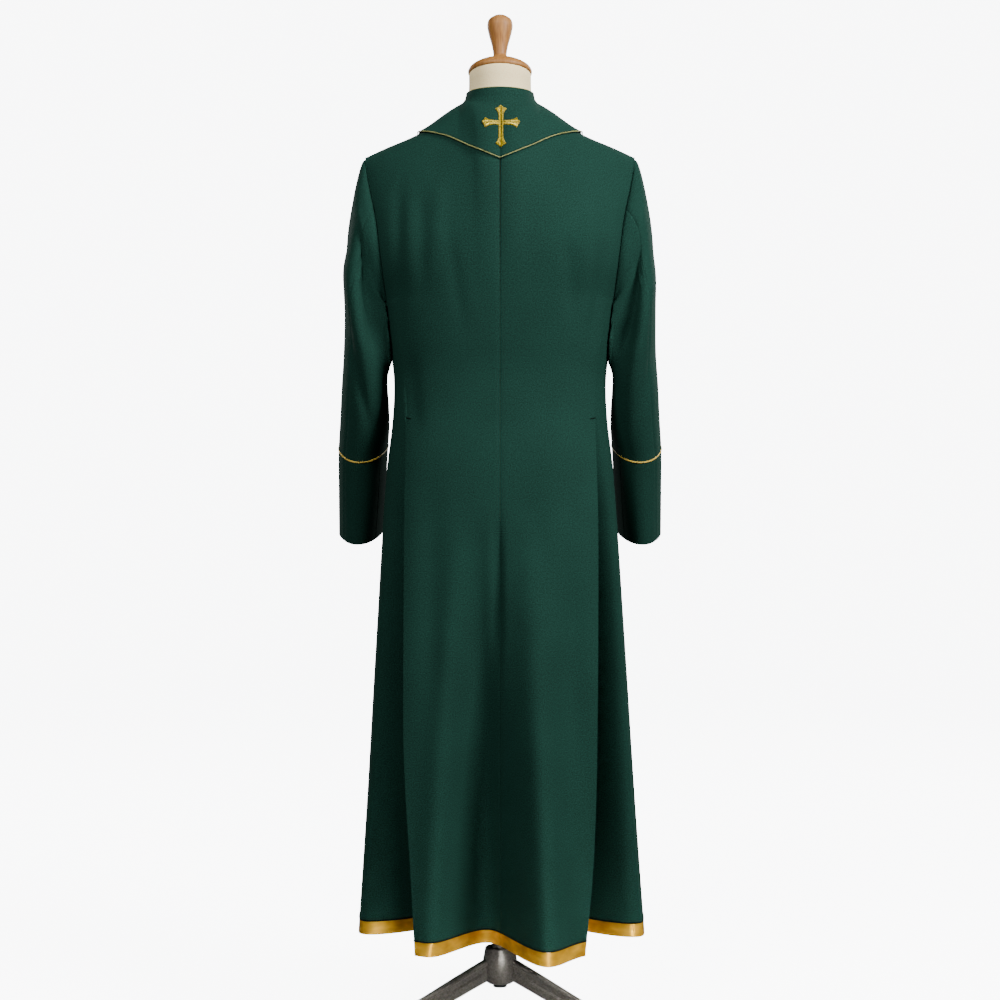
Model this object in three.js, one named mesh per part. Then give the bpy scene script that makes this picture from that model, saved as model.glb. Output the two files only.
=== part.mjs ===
import * as THREE from 'three';
import { TessellateModifier } from 'three/addons/modifiers/TessellateModifier.js';

// A long cassock on a limbless dress form. Millimetres, +Z up. The wearer would face +Y, so the
// back of the garment faces -Y and the wearer's left side lies at -X.

// Driving sizes
const HEM = 160;
const BAND = 22;
const CHEST = 1228;
const UNDERARM = 1222;
const PLEAT_TOP = 1029;
const SHOULDER_TIP = { x: 229, y: -3, z: 1472 };
const NECK_SIDE = { x: 61, y: -8, z: 1557 };
const NAPE = { y: -68, z: 1543 };
const THROAT = { y: 62, z: 1534 };
const NECK_SHARE = 1 / 3;
const LAP_SHARE = 0.1;
const LAP_STEP = 3.5;
const CLOTH = 1.6;
const CUFF_CLOTH = 2;
const SEAM_GAP = 0.3;
const COLLAR_PIPING = 1.25;
const CUFF_PIPING = 1.5;
const POLE_RADIUS = 13;
const HUB_RADIUS = 29;
const LEG_REACH = 279;
const CAP_LEAN = 6.5;

// Numbers of strips across each panel
const BACK_STRIPS = 12;
const PLEAT_STRIPS = 4;
const SIDE_STRIPS = 7;
const FRONT_STRIPS = 12;

// Heights of the rows below the chest, and places of the rows above it
const LOW_ROWS = [1180, 1128, 1076, PLEAT_TOP, 998, 955, 900, 838, 765, 685, 600, 515, 430, 345, 260, HEM + BAND];
const HIGH_ROWS = [1, 0.88, 0.75, 0.62, 0.5, 0.38, 0.25, 0.12];

// Sections of the body: half width, depth behind and before the axis, squareness
const BODY = [
  { z: 1240, half: 198, back: 119, front: 117, square: 2.4 },
  { z: 1160, half: 188, back: 113, front: 110, square: 2.4 },
  { z: 1095, half: 180, back: 108, front: 104, square: 2.4 },
  { z: 1029, half: 182, back: 114, front: 108, square: 2.4 },
  { z: 950, half: 191, back: 126, front: 117, square: 2.6 },
  { z: 820, half: 201, back: 139, front: 128, square: 2.9 },
  { z: 600, half: 215, back: 157, front: 146, square: 3.4 },
  { z: 380, half: 228, back: 171, front: 162, square: 4 },
  { z: 160, half: 242, back: 185, front: 176, square: 4.5 },
];

// The seam beside the centre back, which becomes the outer fold of the pleat below the waist
const BACK_EDGE = [
  { z: 1228, left: 191, right: 191 },
  { z: 1163, left: 172, right: 172 },
  { z: 1100, left: 163, right: 163 },
  { z: 1029, left: 157, right: 159 },
  { z: 858, left: 158, right: 162 },
  { z: 684, left: 158, right: 161 },
  { z: 503, left: 157, right: 158.5 },
  { z: 401, left: 152.5, right: 156 },
  { z: 287, left: 144.5, right: 150 },
  { z: 160, left: 137, right: 137 },
];

// Depth of the pleat, from its outer fold in to the seam, and how far that seam lies inwards
const PLEAT = [
  { z: 1029, deep: 0, shift: 0 },
  { z: 998, deep: 9, shift: 0 },
  { z: 955, deep: 22, shift: 0 },
  { z: 900, deep: 42, shift: 0 },
  { z: 838, deep: 64, shift: 3 },
  { z: 685, deep: 112, shift: 11 },
  { z: 450, deep: 156, shift: 17 },
  { z: 160, deep: 205, shift: 12 },
];

// The seam under the arm, as an angle round the body from the centre back
const SIDE_SEAM = [
  { z: 1228, angle: 91.5 },
  { z: 1029, angle: 96 },
  { z: 160, angle: 104 },
];

// Folds of the skirt at the hem: place across, reach to each side, height outwards
const BACK_FOLDS = [
  { at: -110, before: 30, after: 30, out: 25 },
  { at: -12, before: 55, after: 38, out: -88 },
  { at: 75, before: 45, after: 45, out: 88 },
];
const FRONT_FOLDS = [
  { at: 116, wide: 8, left: 14, right: 18 },
  { at: 132, wide: 7, left: -20, right: -16 },
  { at: 149, wide: 8, left: 24, right: 20 },
  { at: 165, wide: 6, left: -14, right: -18 },
];

// Upper edges of the panels
const CENTRE_BACK = [
  { z: 1228, y: -118.9 },
  { z: 1300, y: -122 },
  { z: 1380, y: -119 },
  { z: 1440, y: -108 },
  { z: 1490, y: -91 },
  { z: 1543, y: -68 },
];
const CENTRE_FRONT = [
  { z: 1228, y: 116.3 },
  { z: 1300, y: 118 },
  { z: 1380, y: 111 },
  { z: 1450, y: 93 },
  { z: 1534, y: 62 },
];
const SHOULDER = [
  { x: 61, z: 1557 },
  { x: 85, z: 1543 },
  { x: 116, z: 1523.5 },
  { x: 146, z: 1508 },
  { x: 192, z: 1489 },
  { x: 229, z: 1472 },
];
const ARMHOLE_BACK = [
  { up: 0, x: 191, y: -42, z: 1228 },
  { up: 0.2, x: 197, y: -57, z: 1277 },
  { up: 0.36, x: 201.5, y: -59, z: 1316 },
  { up: 0.56, x: 208, y: -48, z: 1364 },
  { up: 0.79, x: 220, y: -28, z: 1420 },
  { up: 0.92, x: 226.5, y: -16, z: 1455 },
  { up: 1, x: 229, y: -3, z: 1472 },
];
const ARMHOLE_FRONT = [
  { up: 0, x: 196, y: 5, z: 1222 },
  { up: 0.12, x: 191, y: 38, z: 1240 },
  { up: 0.25, x: 191, y: 57, z: 1276 },
  { up: 0.45, x: 196, y: 60, z: 1331 },
  { up: 0.7, x: 208, y: 42, z: 1396 },
  { up: 0.84, x: 218, y: 26, z: 1434 },
  { up: 0.94, x: 226, y: 11, z: 1459 },
  { up: 1, x: 229, y: -3, z: 1472 },
];

// Rings of the sleeve: outermost and innermost point, half depth, tilt of the ring in degrees
const SLEEVE = [
  { run: 0, ox: 229, oy: -3, oz: 1472, ix: 196, iy: 5, iz: 1222, deep: 60, tilt: 0 },
  { run: 0.05, ox: 237, oy: -3, oz: 1449, ix: 199.5, iy: 5, iz: 1215, deep: 65, tilt: 0 },
  { run: 0.13, ox: 248, oy: -2, oz: 1405, ix: 202, iy: 5, iz: 1206, deep: 71, tilt: 0 },
  { run: 0.22, ox: 258, oy: -1, oz: 1350, ix: 202, iy: 5, iz: 1192, deep: 75, tilt: 0 },
  { run: 0.32, ox: 262, oy: 1, oz: 1293, ix: 200, iy: 5, iz: 1172, deep: 77, tilt: 1 },
  { run: 0.42, ox: 264, oy: 3, oz: 1237, ix: 198, iy: 6, iz: 1148, deep: 76, tilt: 3 },
  { run: 0.52, ox: 265, oy: 6, oz: 1184, ix: 195, iy: 8, iz: 1120, deep: 73, tilt: 6 },
  { run: 0.62, ox: 267, oy: 13, oz: 1132, ix: 192, iy: 14, iz: 1086, deep: 69, tilt: 11 },
  { run: 0.72, ox: 270, oy: 24, oz: 1084, ix: 190, iy: 25, iz: 1052, deep: 65, tilt: 17 },
  { run: 0.83, ox: 272.5, oy: 39, oz: 1034, ix: 189, iy: 40, iz: 1017, deep: 62, tilt: 22 },
  { run: 1, ox: 273.5, oy: 58, oz: 981, ix: 189, iy: 58, iz: 985, deep: 59.5, tilt: 26 },
  { run: 1.5, ox: 274, oy: 84, oz: 907, ix: 191, iy: 84, iz: 909, deep: 59, tilt: 22 },
  { run: 2, ox: 274, oy: 111, oz: 830, ix: 193, iy: 111, iz: 833, deep: 58.5, tilt: 18 },
];
const SLEEVE_PER_RUN = 205;
const CUFF_PER_RUN = 150;
const SLEEVE_RUNS = [0, 0.05, 0.13, 0.22, 0.31, 0.4, 0.49, 0.58, 0.67, 0.76, 0.87];
const SLEEVE_TROUGH = { left: [-250, 1335, -194, 1150], right: [240, 1288, 199, 1130], wide: 15, deep: 9 };

// The fall of the collar: its edge behind, its edge before, and its rows from the roll outwards
const FALL_EDGE_BACK = [
  { turn: 0, x: 0, z: 1455 },
  { turn: 0.15, x: 20, z: 1463 },
  { turn: 0.35, x: 50, z: 1477.5 },
  { turn: 0.6, x: 84, z: 1496 },
  { turn: 0.8, x: 112, z: 1506 },
  { turn: 0.92, x: 128, z: 1510 },
  { turn: 1, x: 136, z: 1513 },
];
const FALL_EDGE_FRONT = [
  { turn: 1, u: 0.631, v: 1 },
  { turn: 1.1, u: 0.63, v: 0.965 },
  { turn: 1.25, u: 0.59, v: 0.93 },
  { turn: 1.55, u: 0.43, v: 0.86 },
  { turn: 1.8, u: 0.28, v: 0.8 },
  { turn: 2, u: 0.14, v: 0.77 },
];
const FALL_ROWS = [
  { run: 0, settle: 0, out: 0, lift: 6 },
  { run: 0.1, settle: 0.42, out: 0, lift: 6 },
  { run: 0.2, settle: 0.82, out: 0.03, lift: 6.5 },
  { run: 0.32, settle: 1, out: 0.13, lift: 8.2 },
  { run: 0.5, settle: 1, out: 0.36, lift: 7.6 },
  { run: 0.68, settle: 1, out: 0.59, lift: 6.2 },
  { run: 0.85, settle: 1, out: 0.81, lift: 4.6 },
  { run: 1, settle: 1, out: 1, lift: 4.1 },
];

// Sections of the dress form below the chest
const FORM = [
  { z: 1228, half: 189, back: 112, front: 109 },
  { z: 1160, half: 180, back: 106, front: 102 },
  { z: 1095, half: 171, back: 100, front: 96 },
  { z: 1029, half: 171, back: 104, front: 98 },
  { z: 955, half: 166, back: 110, front: 104 },
  { z: 900, half: 160, back: 111, front: 105 },
  { z: 855, half: 150, back: 105, front: 100 },
];

// The upper and lower faces of a leg along its reach from the pole
const LEG = [
  { reach: 29.4, top: 112.5, tall: 36 },
  { reach: 60, top: 100, tall: 35 },
  { reach: 90, top: 87.4, tall: 34 },
  { reach: 152, top: 61, tall: 27 },
  { reach: 192, top: 46, tall: 20 },
  { reach: 232, top: 34, tall: 15 },
  { reach: 279, top: 24, tall: 12 },
];

const point = (x, y, z) => new THREE.Vector3(x, y, z);
const radians = (degrees) => (degrees * Math.PI) / 180;
const mix = (a, b, share) => a + (b - a) * share;
const bell = (distance) => Math.exp(-distance * distance);

// A named column of a table at a place between its rows, on a smooth curve through them
function read(table, key, place, name) {
  const rising = table[1][key] > table[0][key];
  const row = (i) => table[Math.min(Math.max(i, 0), table.length - 1)];
  const slope = (i) => (row(i + 1)[name] - row(i - 1)[name]) / (row(i + 1)[key] - row(i - 1)[key]);
  let i = 0;
  while (i < table.length - 2 && (rising ? place > row(i + 1)[key] : place < row(i + 1)[key])) i += 1;
  const step = row(i + 1)[key] - row(i)[key];
  const t = Math.min(Math.max((place - row(i)[key]) / step, 0), 1);
  const start = row(i)[name];
  const end = row(i + 1)[name];
  const bend = t * (1 - t) * step;
  const ease = t * t * (3 - 2 * t);
  return mix(start, end, ease) + bend * ((1 - t) * slope(i) - t * slope(i + 1));
}

// The body's section as a rounded oval, by the angle round it from the centre back
function ovalPoint(table, z, angle, square) {
  const across = Math.sin(radians(angle));
  const along = Math.cos(radians(angle));
  const half = read(table, 'z', z, 'half');
  const depth = read(table, 'z', z, along > 0 ? 'back' : 'front');
  const reach = (Math.abs(across / half) ** square + Math.abs(along / depth) ** square) ** (-1 / square);
  return point(reach * across, -reach * along, z);
}

function bodyPoint(z, angle) {
  return ovalPoint(BODY, z, angle, read(BODY, 'z', z, 'square'));
}

// How far the folds of the skirt have opened at a height: nothing at the hips, all at the hem
function foldShare(z) {
  return Math.max(0, (880 - z) / 720) ** 1.4;
}

// The back panel's face at a distance across, with the folds that hang in it
function backDepth(x, z) {
  const half = read(BODY, 'z', z, 'half');
  const depth = read(BODY, 'z', z, 'back');
  const square = read(BODY, 'z', z, 'square');
  const share = foldShare(z);
  const spread = 0.5 + 0.5 * Math.sqrt(share);
  let out = depth * (1 - Math.abs(x / half) ** square) ** (1 / square);
  for (const fold of BACK_FOLDS) {
    const away = x - fold.at * spread;
    const reach = (away < 0 ? fold.before : fold.after) * spread;
    out += share * fold.out * bell(away / reach);
  }
  return -out;
}

// The outer fold of the pleat, and the seam deep inside it. All panels are made for x above 0
// and mirrored for the left side.
function foldEdge(side, z) {
  const x = read(BACK_EDGE, 'z', z, side);
  return point(x, backDepth(side === 'left' ? -x : x, z), z);
}

function pleatSeam(side, z) {
  const edge = foldEdge(side, z);
  if (z >= PLEAT_TOP) return edge;
  return point(edge.x - read(PLEAT, 'z', z, 'shift'), edge.y + read(PLEAT, 'z', z, 'deep'), z);
}

// A patch between four edge curves that share their corners
function patch(bottom, top, inner, outer, u, v) {
  const sum = bottom(u).multiplyScalar(1 - v).add(top(u).multiplyScalar(v));
  sum.add(inner(v).multiplyScalar(1 - u)).add(outer(v).multiplyScalar(u));
  sum.addScaledVector(bottom(0), -(1 - u) * (1 - v)).addScaledVector(bottom(1), -u * (1 - v));
  return sum.addScaledVector(top(0), -(1 - u) * v).addScaledVector(top(1), -u * v);
}

// The top edge of a panel: its part of the neckline, then the shoulder seam
function topEdge(u, middle) {
  if (u <= NECK_SHARE) {
    const turn = (u / NECK_SHARE) * (Math.PI / 2);
    const y = NECK_SIDE.y + (middle.y - NECK_SIDE.y) * Math.cos(turn);
    const z = mix(middle.z, NECK_SIDE.z, Math.sin(turn) ** 2);
    return point(NECK_SIDE.x * Math.sin(turn), y, z);
  }
  const share = (u - NECK_SHARE) / (1 - NECK_SHARE);
  const x = mix(NECK_SIDE.x, SHOULDER_TIP.x, share);
  return point(x, mix(NECK_SIDE.y, SHOULDER_TIP.y, share), read(SHOULDER, 'x', x, 'z'));
}

function armhole(table, corner, v) {
  const at = (name) => read(table, 'up', v, name);
  const fade = (1 - v) ** 4;
  return point(
    at('x') + (corner.x - table[0].x) * fade,
    at('y') + (corner.y - table[0].y) * fade,
    at('z') + (corner.z - table[0].z) * fade,
  );
}

// Fills a panel out just below its upper edge, so that the cloth goes round over the shoulder
function rounded(place, u, v, way) {
  const share = (17.6 * v ** 6 * (1 - v)) * Math.max(0, Math.sin(Math.PI * u)) ** 0.6;
  return place.add(point(0, way * 14 * share, 12 * share));
}

// The back above the chest: u across from the centre seam, v up from the chest
function upperBack(u, v) {
  const edge = read(BACK_EDGE, 'z', CHEST, 'right');
  const bottom = (s) => point(s * edge, backDepth(s * edge, CHEST), CHEST);
  const inner = (s) => {
    const z = mix(CHEST, NAPE.z, s);
    return point(0, read(CENTRE_BACK, 'z', z, 'y') + (bottom(0).y - CENTRE_BACK[0].y) * (1 - s), z);
  };
  const outer = (s) => armhole(ARMHOLE_BACK, bottom(1), s);
  const place = patch(bottom, (s) => topEdge(s, NAPE), inner, outer, u, v);
  place.y -= 13 * Math.sin(Math.PI * u) * Math.sin(Math.PI * v);
  return rounded(place, u, v, -1);
}

// The front above the chest, u across from the centre front
function chestFront(u) {
  const z = mix(CHEST, UNDERARM, u * u);
  return bodyPoint(z, 180 - (180 - read(SIDE_SEAM, 'z', CHEST, 'angle')) * u);
}

function upperFront(u, v) {
  const inner = (s) => {
    const z = mix(CHEST, THROAT.z, s);
    return point(0, read(CENTRE_FRONT, 'z', z, 'y') + (chestFront(0).y - CENTRE_FRONT[0].y) * (1 - s), z);
  };
  const outer = (s) => armhole(ARMHOLE_FRONT, chestFront(1), s);
  const place = patch(chestFront, (s) => topEdge(s, THROAT), inner, outer, u, v);
  place.y += 9 * Math.sin(Math.PI * u) * Math.sin(Math.PI * v);
  return rounded(place, u, v, 1);
}

// Points of the side-back panel, from the seam behind (u 0) to the seam under the arm (u 1)
function sidePoint(side, u, row) {
  const z = row === CHEST ? mix(CHEST, UNDERARM, u) : row;
  const seam = pleatSeam(side, row);
  const edge = foldEdge(side, row);
  const start = (Math.atan2(edge.x, -bodyBack(edge.x, row)) * 180) / Math.PI;
  const end = read(SIDE_SEAM, 'z', row, 'angle');
  const place = bodyPoint(z, mix(start, end, u));
  const pull = (1 - u) ** (side === 'left' ? 1.7 : 2.2);
  const base = bodyPoint(row, start);
  return point(place.x + (seam.x - base.x) * pull, place.y + (seam.y - base.y) * pull, z);
}

// The plain section's depth at a distance across, without folds
function bodyBack(x, z) {
  const square = read(BODY, 'z', z, 'square');
  const share = Math.abs(x / read(BODY, 'z', z, 'half')) ** square;
  return -read(BODY, 'z', z, 'back') * (1 - share) ** (1 / square);
}

// Points of the front panel below the chest
function frontPoint(side, u, row) {
  if (row === CHEST) return chestFront(u);
  const end = read(SIDE_SEAM, 'z', row, 'angle');
  const angle = 180 - (180 - end) * u;
  const place = bodyPoint(row, angle);
  let out = 0;
  for (const fold of FRONT_FOLDS) out += fold[side] * bell((angle - fold.at) / fold.wide);
  const share = 1 + (foldShare(row) * out * (1 - u ** 6)) / place.length();
  const flat = Math.hypot(place.x, place.y);
  const grow = 1 + (foldShare(row) * out * (1 - u ** 6)) / flat;
  return share > 0 ? point(place.x * grow, place.y * grow, row) : place;
}

// One row of the back panel: across the face, then in along the underlay of the pleat
function backRow(side, row) {
  const edge = foldEdge(side, row);
  const seam = pleatSeam(side, row);
  const sign = side === 'left' ? -1 : 1;
  const points = [];
  for (let i = 0; i < BACK_STRIPS; i += 1) {
    const x = (edge.x * i) / BACK_STRIPS;
    points.push(point(x, backDepth(sign * x, row), row));
  }
  for (let i = 0; i <= PLEAT_STRIPS; i += 1) points.push(edge.clone().lerp(seam, i / PLEAT_STRIPS));
  return points;
}

function backRows(side, heights) {
  return heights.map((row) => backRow(side, row));
}

function upperBackRows() {
  return HIGH_ROWS.map((v) => {
    const points = [];
    for (let i = 0; i <= BACK_STRIPS; i += 1) points.push(upperBack(i / BACK_STRIPS, v));
    for (let i = 0; i < PLEAT_STRIPS; i += 1) points.push(upperBack(1, v));
    return points;
  });
}

function sideRows(side, heights) {
  const shares = Array.from({ length: SIDE_STRIPS + 1 }, (_, i) => i / SIDE_STRIPS);
  return heights.map((row) => shares.map((u) => sidePoint(side, u, row)));
}

// The right front lies under the left one, so it steps inwards where they lap
function lapped(side, place) {
  if (side === 'left') return place;
  const share = Math.min(Math.max((46 - place.x) / 14, 0), 1);
  place.y -= LAP_STEP * share * share * (3 - 2 * share);
  return place;
}

function frontRows(side, places, make) {
  const shares = [-LAP_SHARE];
  for (let i = 0; i <= FRONT_STRIPS; i += 1) shares.push(i / FRONT_STRIPS);
  return places.map((row) => shares.map((u) => {
    const place = make(Math.abs(u), row);
    if (u < 0) place.x = -place.x;
    return lapped(side, place);
  }));
}

// Rows of points woven to one surface: equal points are one corner and empty triangles drop out
function weave(grids) {
  const points = [];
  const faces = [];
  const seen = new Map();
  const corner = (place) => {
    const key = spot(place);
    if (!seen.has(key)) {
      seen.set(key, points.length);
      points.push(place.clone());
    }
    return seen.get(key);
  };
  const face = (a, b, c) => {
    if (a !== b && b !== c && a !== c) faces.push([a, b, c]);
  };
  for (const { rows, closed } of grids) {
    const ids = rows.map((row) => row.map(corner));
    const wide = closed ? ids[0].length : ids[0].length - 1;
    for (let r = 0; r < ids.length - 1; r += 1) {
      for (let c = 0; c < wide; c += 1) {
        const next = (c + 1) % ids[r].length;
        const [a, b, d, e] = [ids[r][c], ids[r + 1][c], ids[r][next], ids[r + 1][next]];
        const first = points[a].distanceTo(points[e]) <= points[b].distanceTo(points[d]);
        if (first) {
          face(a, b, e);
          face(a, e, d);
        } else {
          face(a, b, d);
          face(b, e, d);
        }
      }
    }
  }
  return { points, faces };
}

// A name for a place, to about a hundredth, that round numbers never fall between two of
function spot(place) {
  return [place.x, place.y, place.z].map((value) => Math.round(value * 97.3 + 0.17)).join(' ');
}

function faceNormal(surface, [a, b, c]) {
  const first = surface.points[b].clone().sub(surface.points[a]);
  return first.cross(surface.points[c].clone().sub(surface.points[a])).normalize();
}

// Turns a surface so that its faces look away from the given inside place
function faceOut(surface, inside) {
  let sum = 0;
  for (const face of surface.faces) {
    const middle = surface.points[face[0]];
    sum += faceNormal(surface, face).dot(middle.clone().sub(inside(middle)).normalize());
  }
  if (sum < 0) surface.faces.forEach((face) => face.reverse());
  return surface;
}

// Average of unit directions, lengthened so that an offset keeps its distance to each face
function mitre(normals) {
  const sum = normals.reduce((total, normal) => total.add(normal), point(0, 0, 0)).normalize();
  const lean = normals.reduce((total, normal) => total + normal.dot(sum), 0) / normals.length;
  return sum.multiplyScalar(1 / Math.max(lean, 0.5));
}

// All cloth surfaces, so that the edges of neighbours can be cut along one common direction
const pieces = [];

function cloth(name, grids, inside, thickness, material, trim = SEAM_GAP / 2) {
  const surface = faceOut(weave(grids), inside);
  surface.normals = surface.points.map(() => []);
  for (const face of surface.faces) {
    const normal = faceNormal(surface, face);
    face.forEach((corner) => surface.normals[corner].push(normal));
  }
  surface.spots = new Map(surface.points.map((place, i) => [spot(place), i]));
  pieces.push({ name, surface, thickness, material, trim });
}

function edgesOf(surface) {
  const edges = new Map();
  for (const [a, b, c] of surface.faces) {
    for (const [from, to] of [[a, b], [b, c], [c, a]]) {
      if (!edges.delete(`${to} ${from}`)) edges.set(`${from} ${to}`, [from, to, [a, b, c]]);
    }
  }
  return [...edges.values()];
}

// The direction to the inside of the cloth at one corner, shared with the pieces that meet there
function depthDirection(piece, index, cut) {
  const own = mitre(piece.surface.normals[index].map((normal) => normal.clone()));
  const key = spot(piece.surface.points[index]);
  const shared = [own.clone().normalize()];
  for (const other of pieces) {
    const match = other === piece || !cut[index].length ? undefined : other.surface.spots.get(key);
    if (match !== undefined) {
      const theirs = mitre(other.surface.normals[match].map((normal) => normal.clone())).normalize();
      const inwards = mitre(cut[index].map((way) => way.clone())).normalize();
      if (inwards.dot(theirs) < 0.1 || theirs.dot(shared[0]) > 0.3) shared.push(theirs);
    }
  }
  return shared.length > 1 ? mitre(shared) : own;
}

// A closed wall: the outer face cut back a little at its edges, the inner face, and the rims
function wall(piece) {
  const { surface, thickness, trim } = piece;
  const edges = edgesOf(surface);
  const cut = surface.points.map(() => []);
  for (const [from, to, face] of edges) {
    const run = surface.points[to].clone().sub(surface.points[from]).normalize();
    const inwards = faceNormal(surface, face).cross(run);
    cut[from].push(inwards);
    cut[to].push(inwards);
  }
  const outer = surface.points.map((place, i) => {
    if (cut[i].length === 0) return place.clone();
    return place.clone().addScaledVector(mitre(cut[i].map((way) => way.clone())), trim);
  });
  const inner = outer.map((place, i) => place.clone().addScaledVector(depthDirection(piece, i, cut), -thickness));
  const count = outer.length;
  const index = [];
  surface.faces.forEach(([a, b, c]) => index.push(a, b, c, count + c, count + b, count + a));
  edges.forEach(([a, b]) => {
    const even = spot(surface.points[a]) < spot(surface.points[b]);
    if (even) index.push(b, a, count + b, a, count + a, count + b);
    else index.push(b, a, count + a, b, count + a, count + b);
  });
  return solid([...outer, ...inner], index);
}

function solid(points, index) {
  const geometry = new THREE.BufferGeometry().setFromPoints(points);
  geometry.setIndex(index);
  geometry.computeVertexNormals();
  return geometry;
}

// Materials
const finish = (name, color, roughness, metalness = 0) => ({ name, color, roughness, metalness });
const WOOL = finish('green wool twill', '#1f4a3c', 0.85);
const SATIN = finish('gold satin', '#c2a24c', 0.45);
const GOLD_CORD = finish('gold piping cord', '#cdb268', 0.55);
const STITCHES = finish('gold satin stitch', '#c9a545', 0.5);
const LINEN = finish('linen cover', '#e7dfcf', 0.9);
const WOOD = finish('turned beech', '#b98149', 0.5);
const METAL = finish('grey cast metal', '#8f9295', 0.45, 0.7);
const RUBBER = finish('rubber', '#2a2a2a', 0.8);

const cassock = new THREE.Group();
cassock.name = 'cassock_on_dress_form';

function add(name, geometry, { color, roughness, metalness }) {
  const mesh = new THREE.Mesh(geometry, new THREE.MeshStandardMaterial({ color, roughness, metalness }));
  mesh.name = name;
  cassock.add(mesh);
  return mesh;
}

// Panels of the left side are made on the right and mirrored
function mirrored(side, rows) {
  if (side === 'right') return rows;
  return rows.map((row) => row.map((place) => point(-place.x, place.y, place.z)));
}

const spine = (place) => point(0, 0, Math.min(place.z, 1400));

function bodyPanels(side) {
  const low = [CHEST, ...LOW_ROWS];
  const band = [HEM + BAND, HEM];
  const high = HIGH_ROWS;
  const back = [...upperBackRows(), ...backRows(side, low)];
  const frontLow = (rows) => frontRows(side, rows, (u, row) => frontPoint(side, u, row));
  const front = [...frontRows(side, high, upperFront), ...frontLow(low)];
  const parts = { back, side: sideRows(side, low), front };
  const bands = { back: backRows(side, band), side: sideRows(side, band), front: frontLow(band) };
  for (const [part, rows] of Object.entries(parts)) {
    cloth(`${part}_${side}`, [{ rows: mirrored(side, rows) }], spine, CLOTH, WOOL);
  }
  for (const [part, rows] of Object.entries(bands)) {
    cloth(`hem_band_${part}_${side}`, [{ rows: mirrored(side, rows) }], spine, CLOTH, SATIN);
  }
}

// The armhole as one loop: down the back from the shoulder, under the arm, up the front
function armholeLoop() {
  const loop = HIGH_ROWS.map((v) => upperBack(1, v));
  for (let i = 0; i < SIDE_STRIPS; i += 1) loop.push(sidePoint('right', i / SIDE_STRIPS, CHEST));
  loop.push(upperFront(1, 0));
  for (let i = HIGH_ROWS.length - 1; i > 0; i -= 1) loop.push(upperFront(1, HIGH_ROWS[i]));
  return loop;
}

// A point of the sleeve: on the armhole at run 0, on an oval ring farther down
function ringPoint(turn, run) {
  const at = (name) => read(SLEEVE, 'run', run, name);
  const outer = point(at('ox'), at('oy'), at('oz'));
  const inner = point(at('ix'), at('iy'), at('iz'));
  const tilt = radians(at('tilt'));
  const behind = point(0, -Math.cos(tilt), -Math.sin(tilt)).multiplyScalar(at('deep'));
  const soft = (value) => Math.sign(value) * Math.abs(value) ** 0.92;
  const middle = outer.clone().add(inner).multiplyScalar(0.5);
  middle.addScaledVector(outer.sub(inner), 0.5 * soft(Math.cos(turn)));
  return middle.addScaledVector(behind, soft(Math.sin(turn)));
}

function sleevePoint(side, start, run) {
  const first = Math.atan2(-start.y / 60, (start.z - 1347) / 125);
  const turn = first - radians(25) * Math.min(run, 1) * Math.sin(first);
  const stray = start.clone().sub(ringPoint(first, 0));
  const place = ringPoint(turn, run).addScaledVector(stray, Math.max(0, 1 - run / 0.3) ** 2);
  const [x0, z0, x1, z1] = SLEEVE_TROUGH[side];
  const way = new THREE.Vector2(Math.abs(x1) - Math.abs(x0), z1 - z0);
  const from = new THREE.Vector2(place.x - Math.abs(x0), place.z - z0);
  const along = from.dot(way) / way.lengthSq();
  const away = Math.abs(from.cross(way)) / way.length();
  const ends = bell(Math.max(0, Math.abs(along - 0.5) - 0.4) * 5);
  const behind = Math.max(0, Math.sin(turn)) ** 0.5;
  place.y += SLEEVE_TROUGH.deep * bell(away / SLEEVE_TROUGH.wide) * ends * behind;
  return place;
}

function sleeves(side) {
  const loop = armholeLoop();
  const seamBehind = 3;
  const seamBefore = loop.length - 3;
  const upper = [];
  for (let i = seamBefore; i < loop.length; i += 1) upper.push(loop[i]);
  for (let i = 0; i <= seamBehind; i += 1) upper.push(loop[i]);
  const under = loop.slice(seamBehind, seamBefore + 1);
  const slot = CUFF_PIPING + SEAM_GAP / 2;
  const runs = [...SLEEVE_RUNS, 1 - slot / SLEEVE_PER_RUN];
  const grid = (starts, places) => places.map((run) => starts.map((start) => sleevePoint(side, start, run)));
  const sign = side === 'left' ? -1 : 1;
  const arm = (place) => {
    const run = Math.min(Math.max((1400 - place.z) / 415, 0), 1.4);
    return point(sign * 228, read(SLEEVE, 'run', run, 'oy'), place.z);
  };
  cloth(`sleeve_upper_${side}`, [{ rows: mirrored(side, grid(upper, runs)) }], arm, CLOTH, WOOL);
  cloth(`sleeve_under_${side}`, [{ rows: mirrored(side, grid(under, runs)) }], arm, CLOTH, WOOL);
  const cuffRuns = [1 + slot / CUFF_PER_RUN, 1.35, 1.7, 2];
  const cuff = [{ rows: mirrored(side, grid(loop, cuffRuns)), closed: true }];
  cloth(`cuff_${side}`, cuff, arm, CUFF_CLOTH, WOOL);
  const ring = [];
  for (let i = 0; i <= 40; i += 1) {
    const turn = Math.PI + (i / 40) * (2 * Math.PI - 0.012);
    const place = ringPoint(turn, 1);
    const middle = ringPoint(0, 1).add(ringPoint(Math.PI, 1)).multiplyScalar(0.5);
    place.addScaledVector(place.clone().sub(middle).normalize(), -0.4);
    ring.push(point(sign * place.x, place.y, place.z));
  }
  add(`cuff_piping_${side}`, cord(ring, CUFF_PIPING, 36), GOLD_CORD);
}

// A round cord along a curve
function cord(points, radius, steps) {
  const shape = new THREE.Shape();
  shape.absarc(0, 0, radius, 0, 2 * Math.PI);
  const extrudePath = new THREE.CatmullRomCurve3(points);
  return new THREE.ExtrudeGeometry(shape, { steps, curveSegments: 3, extrudePath });
}

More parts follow.
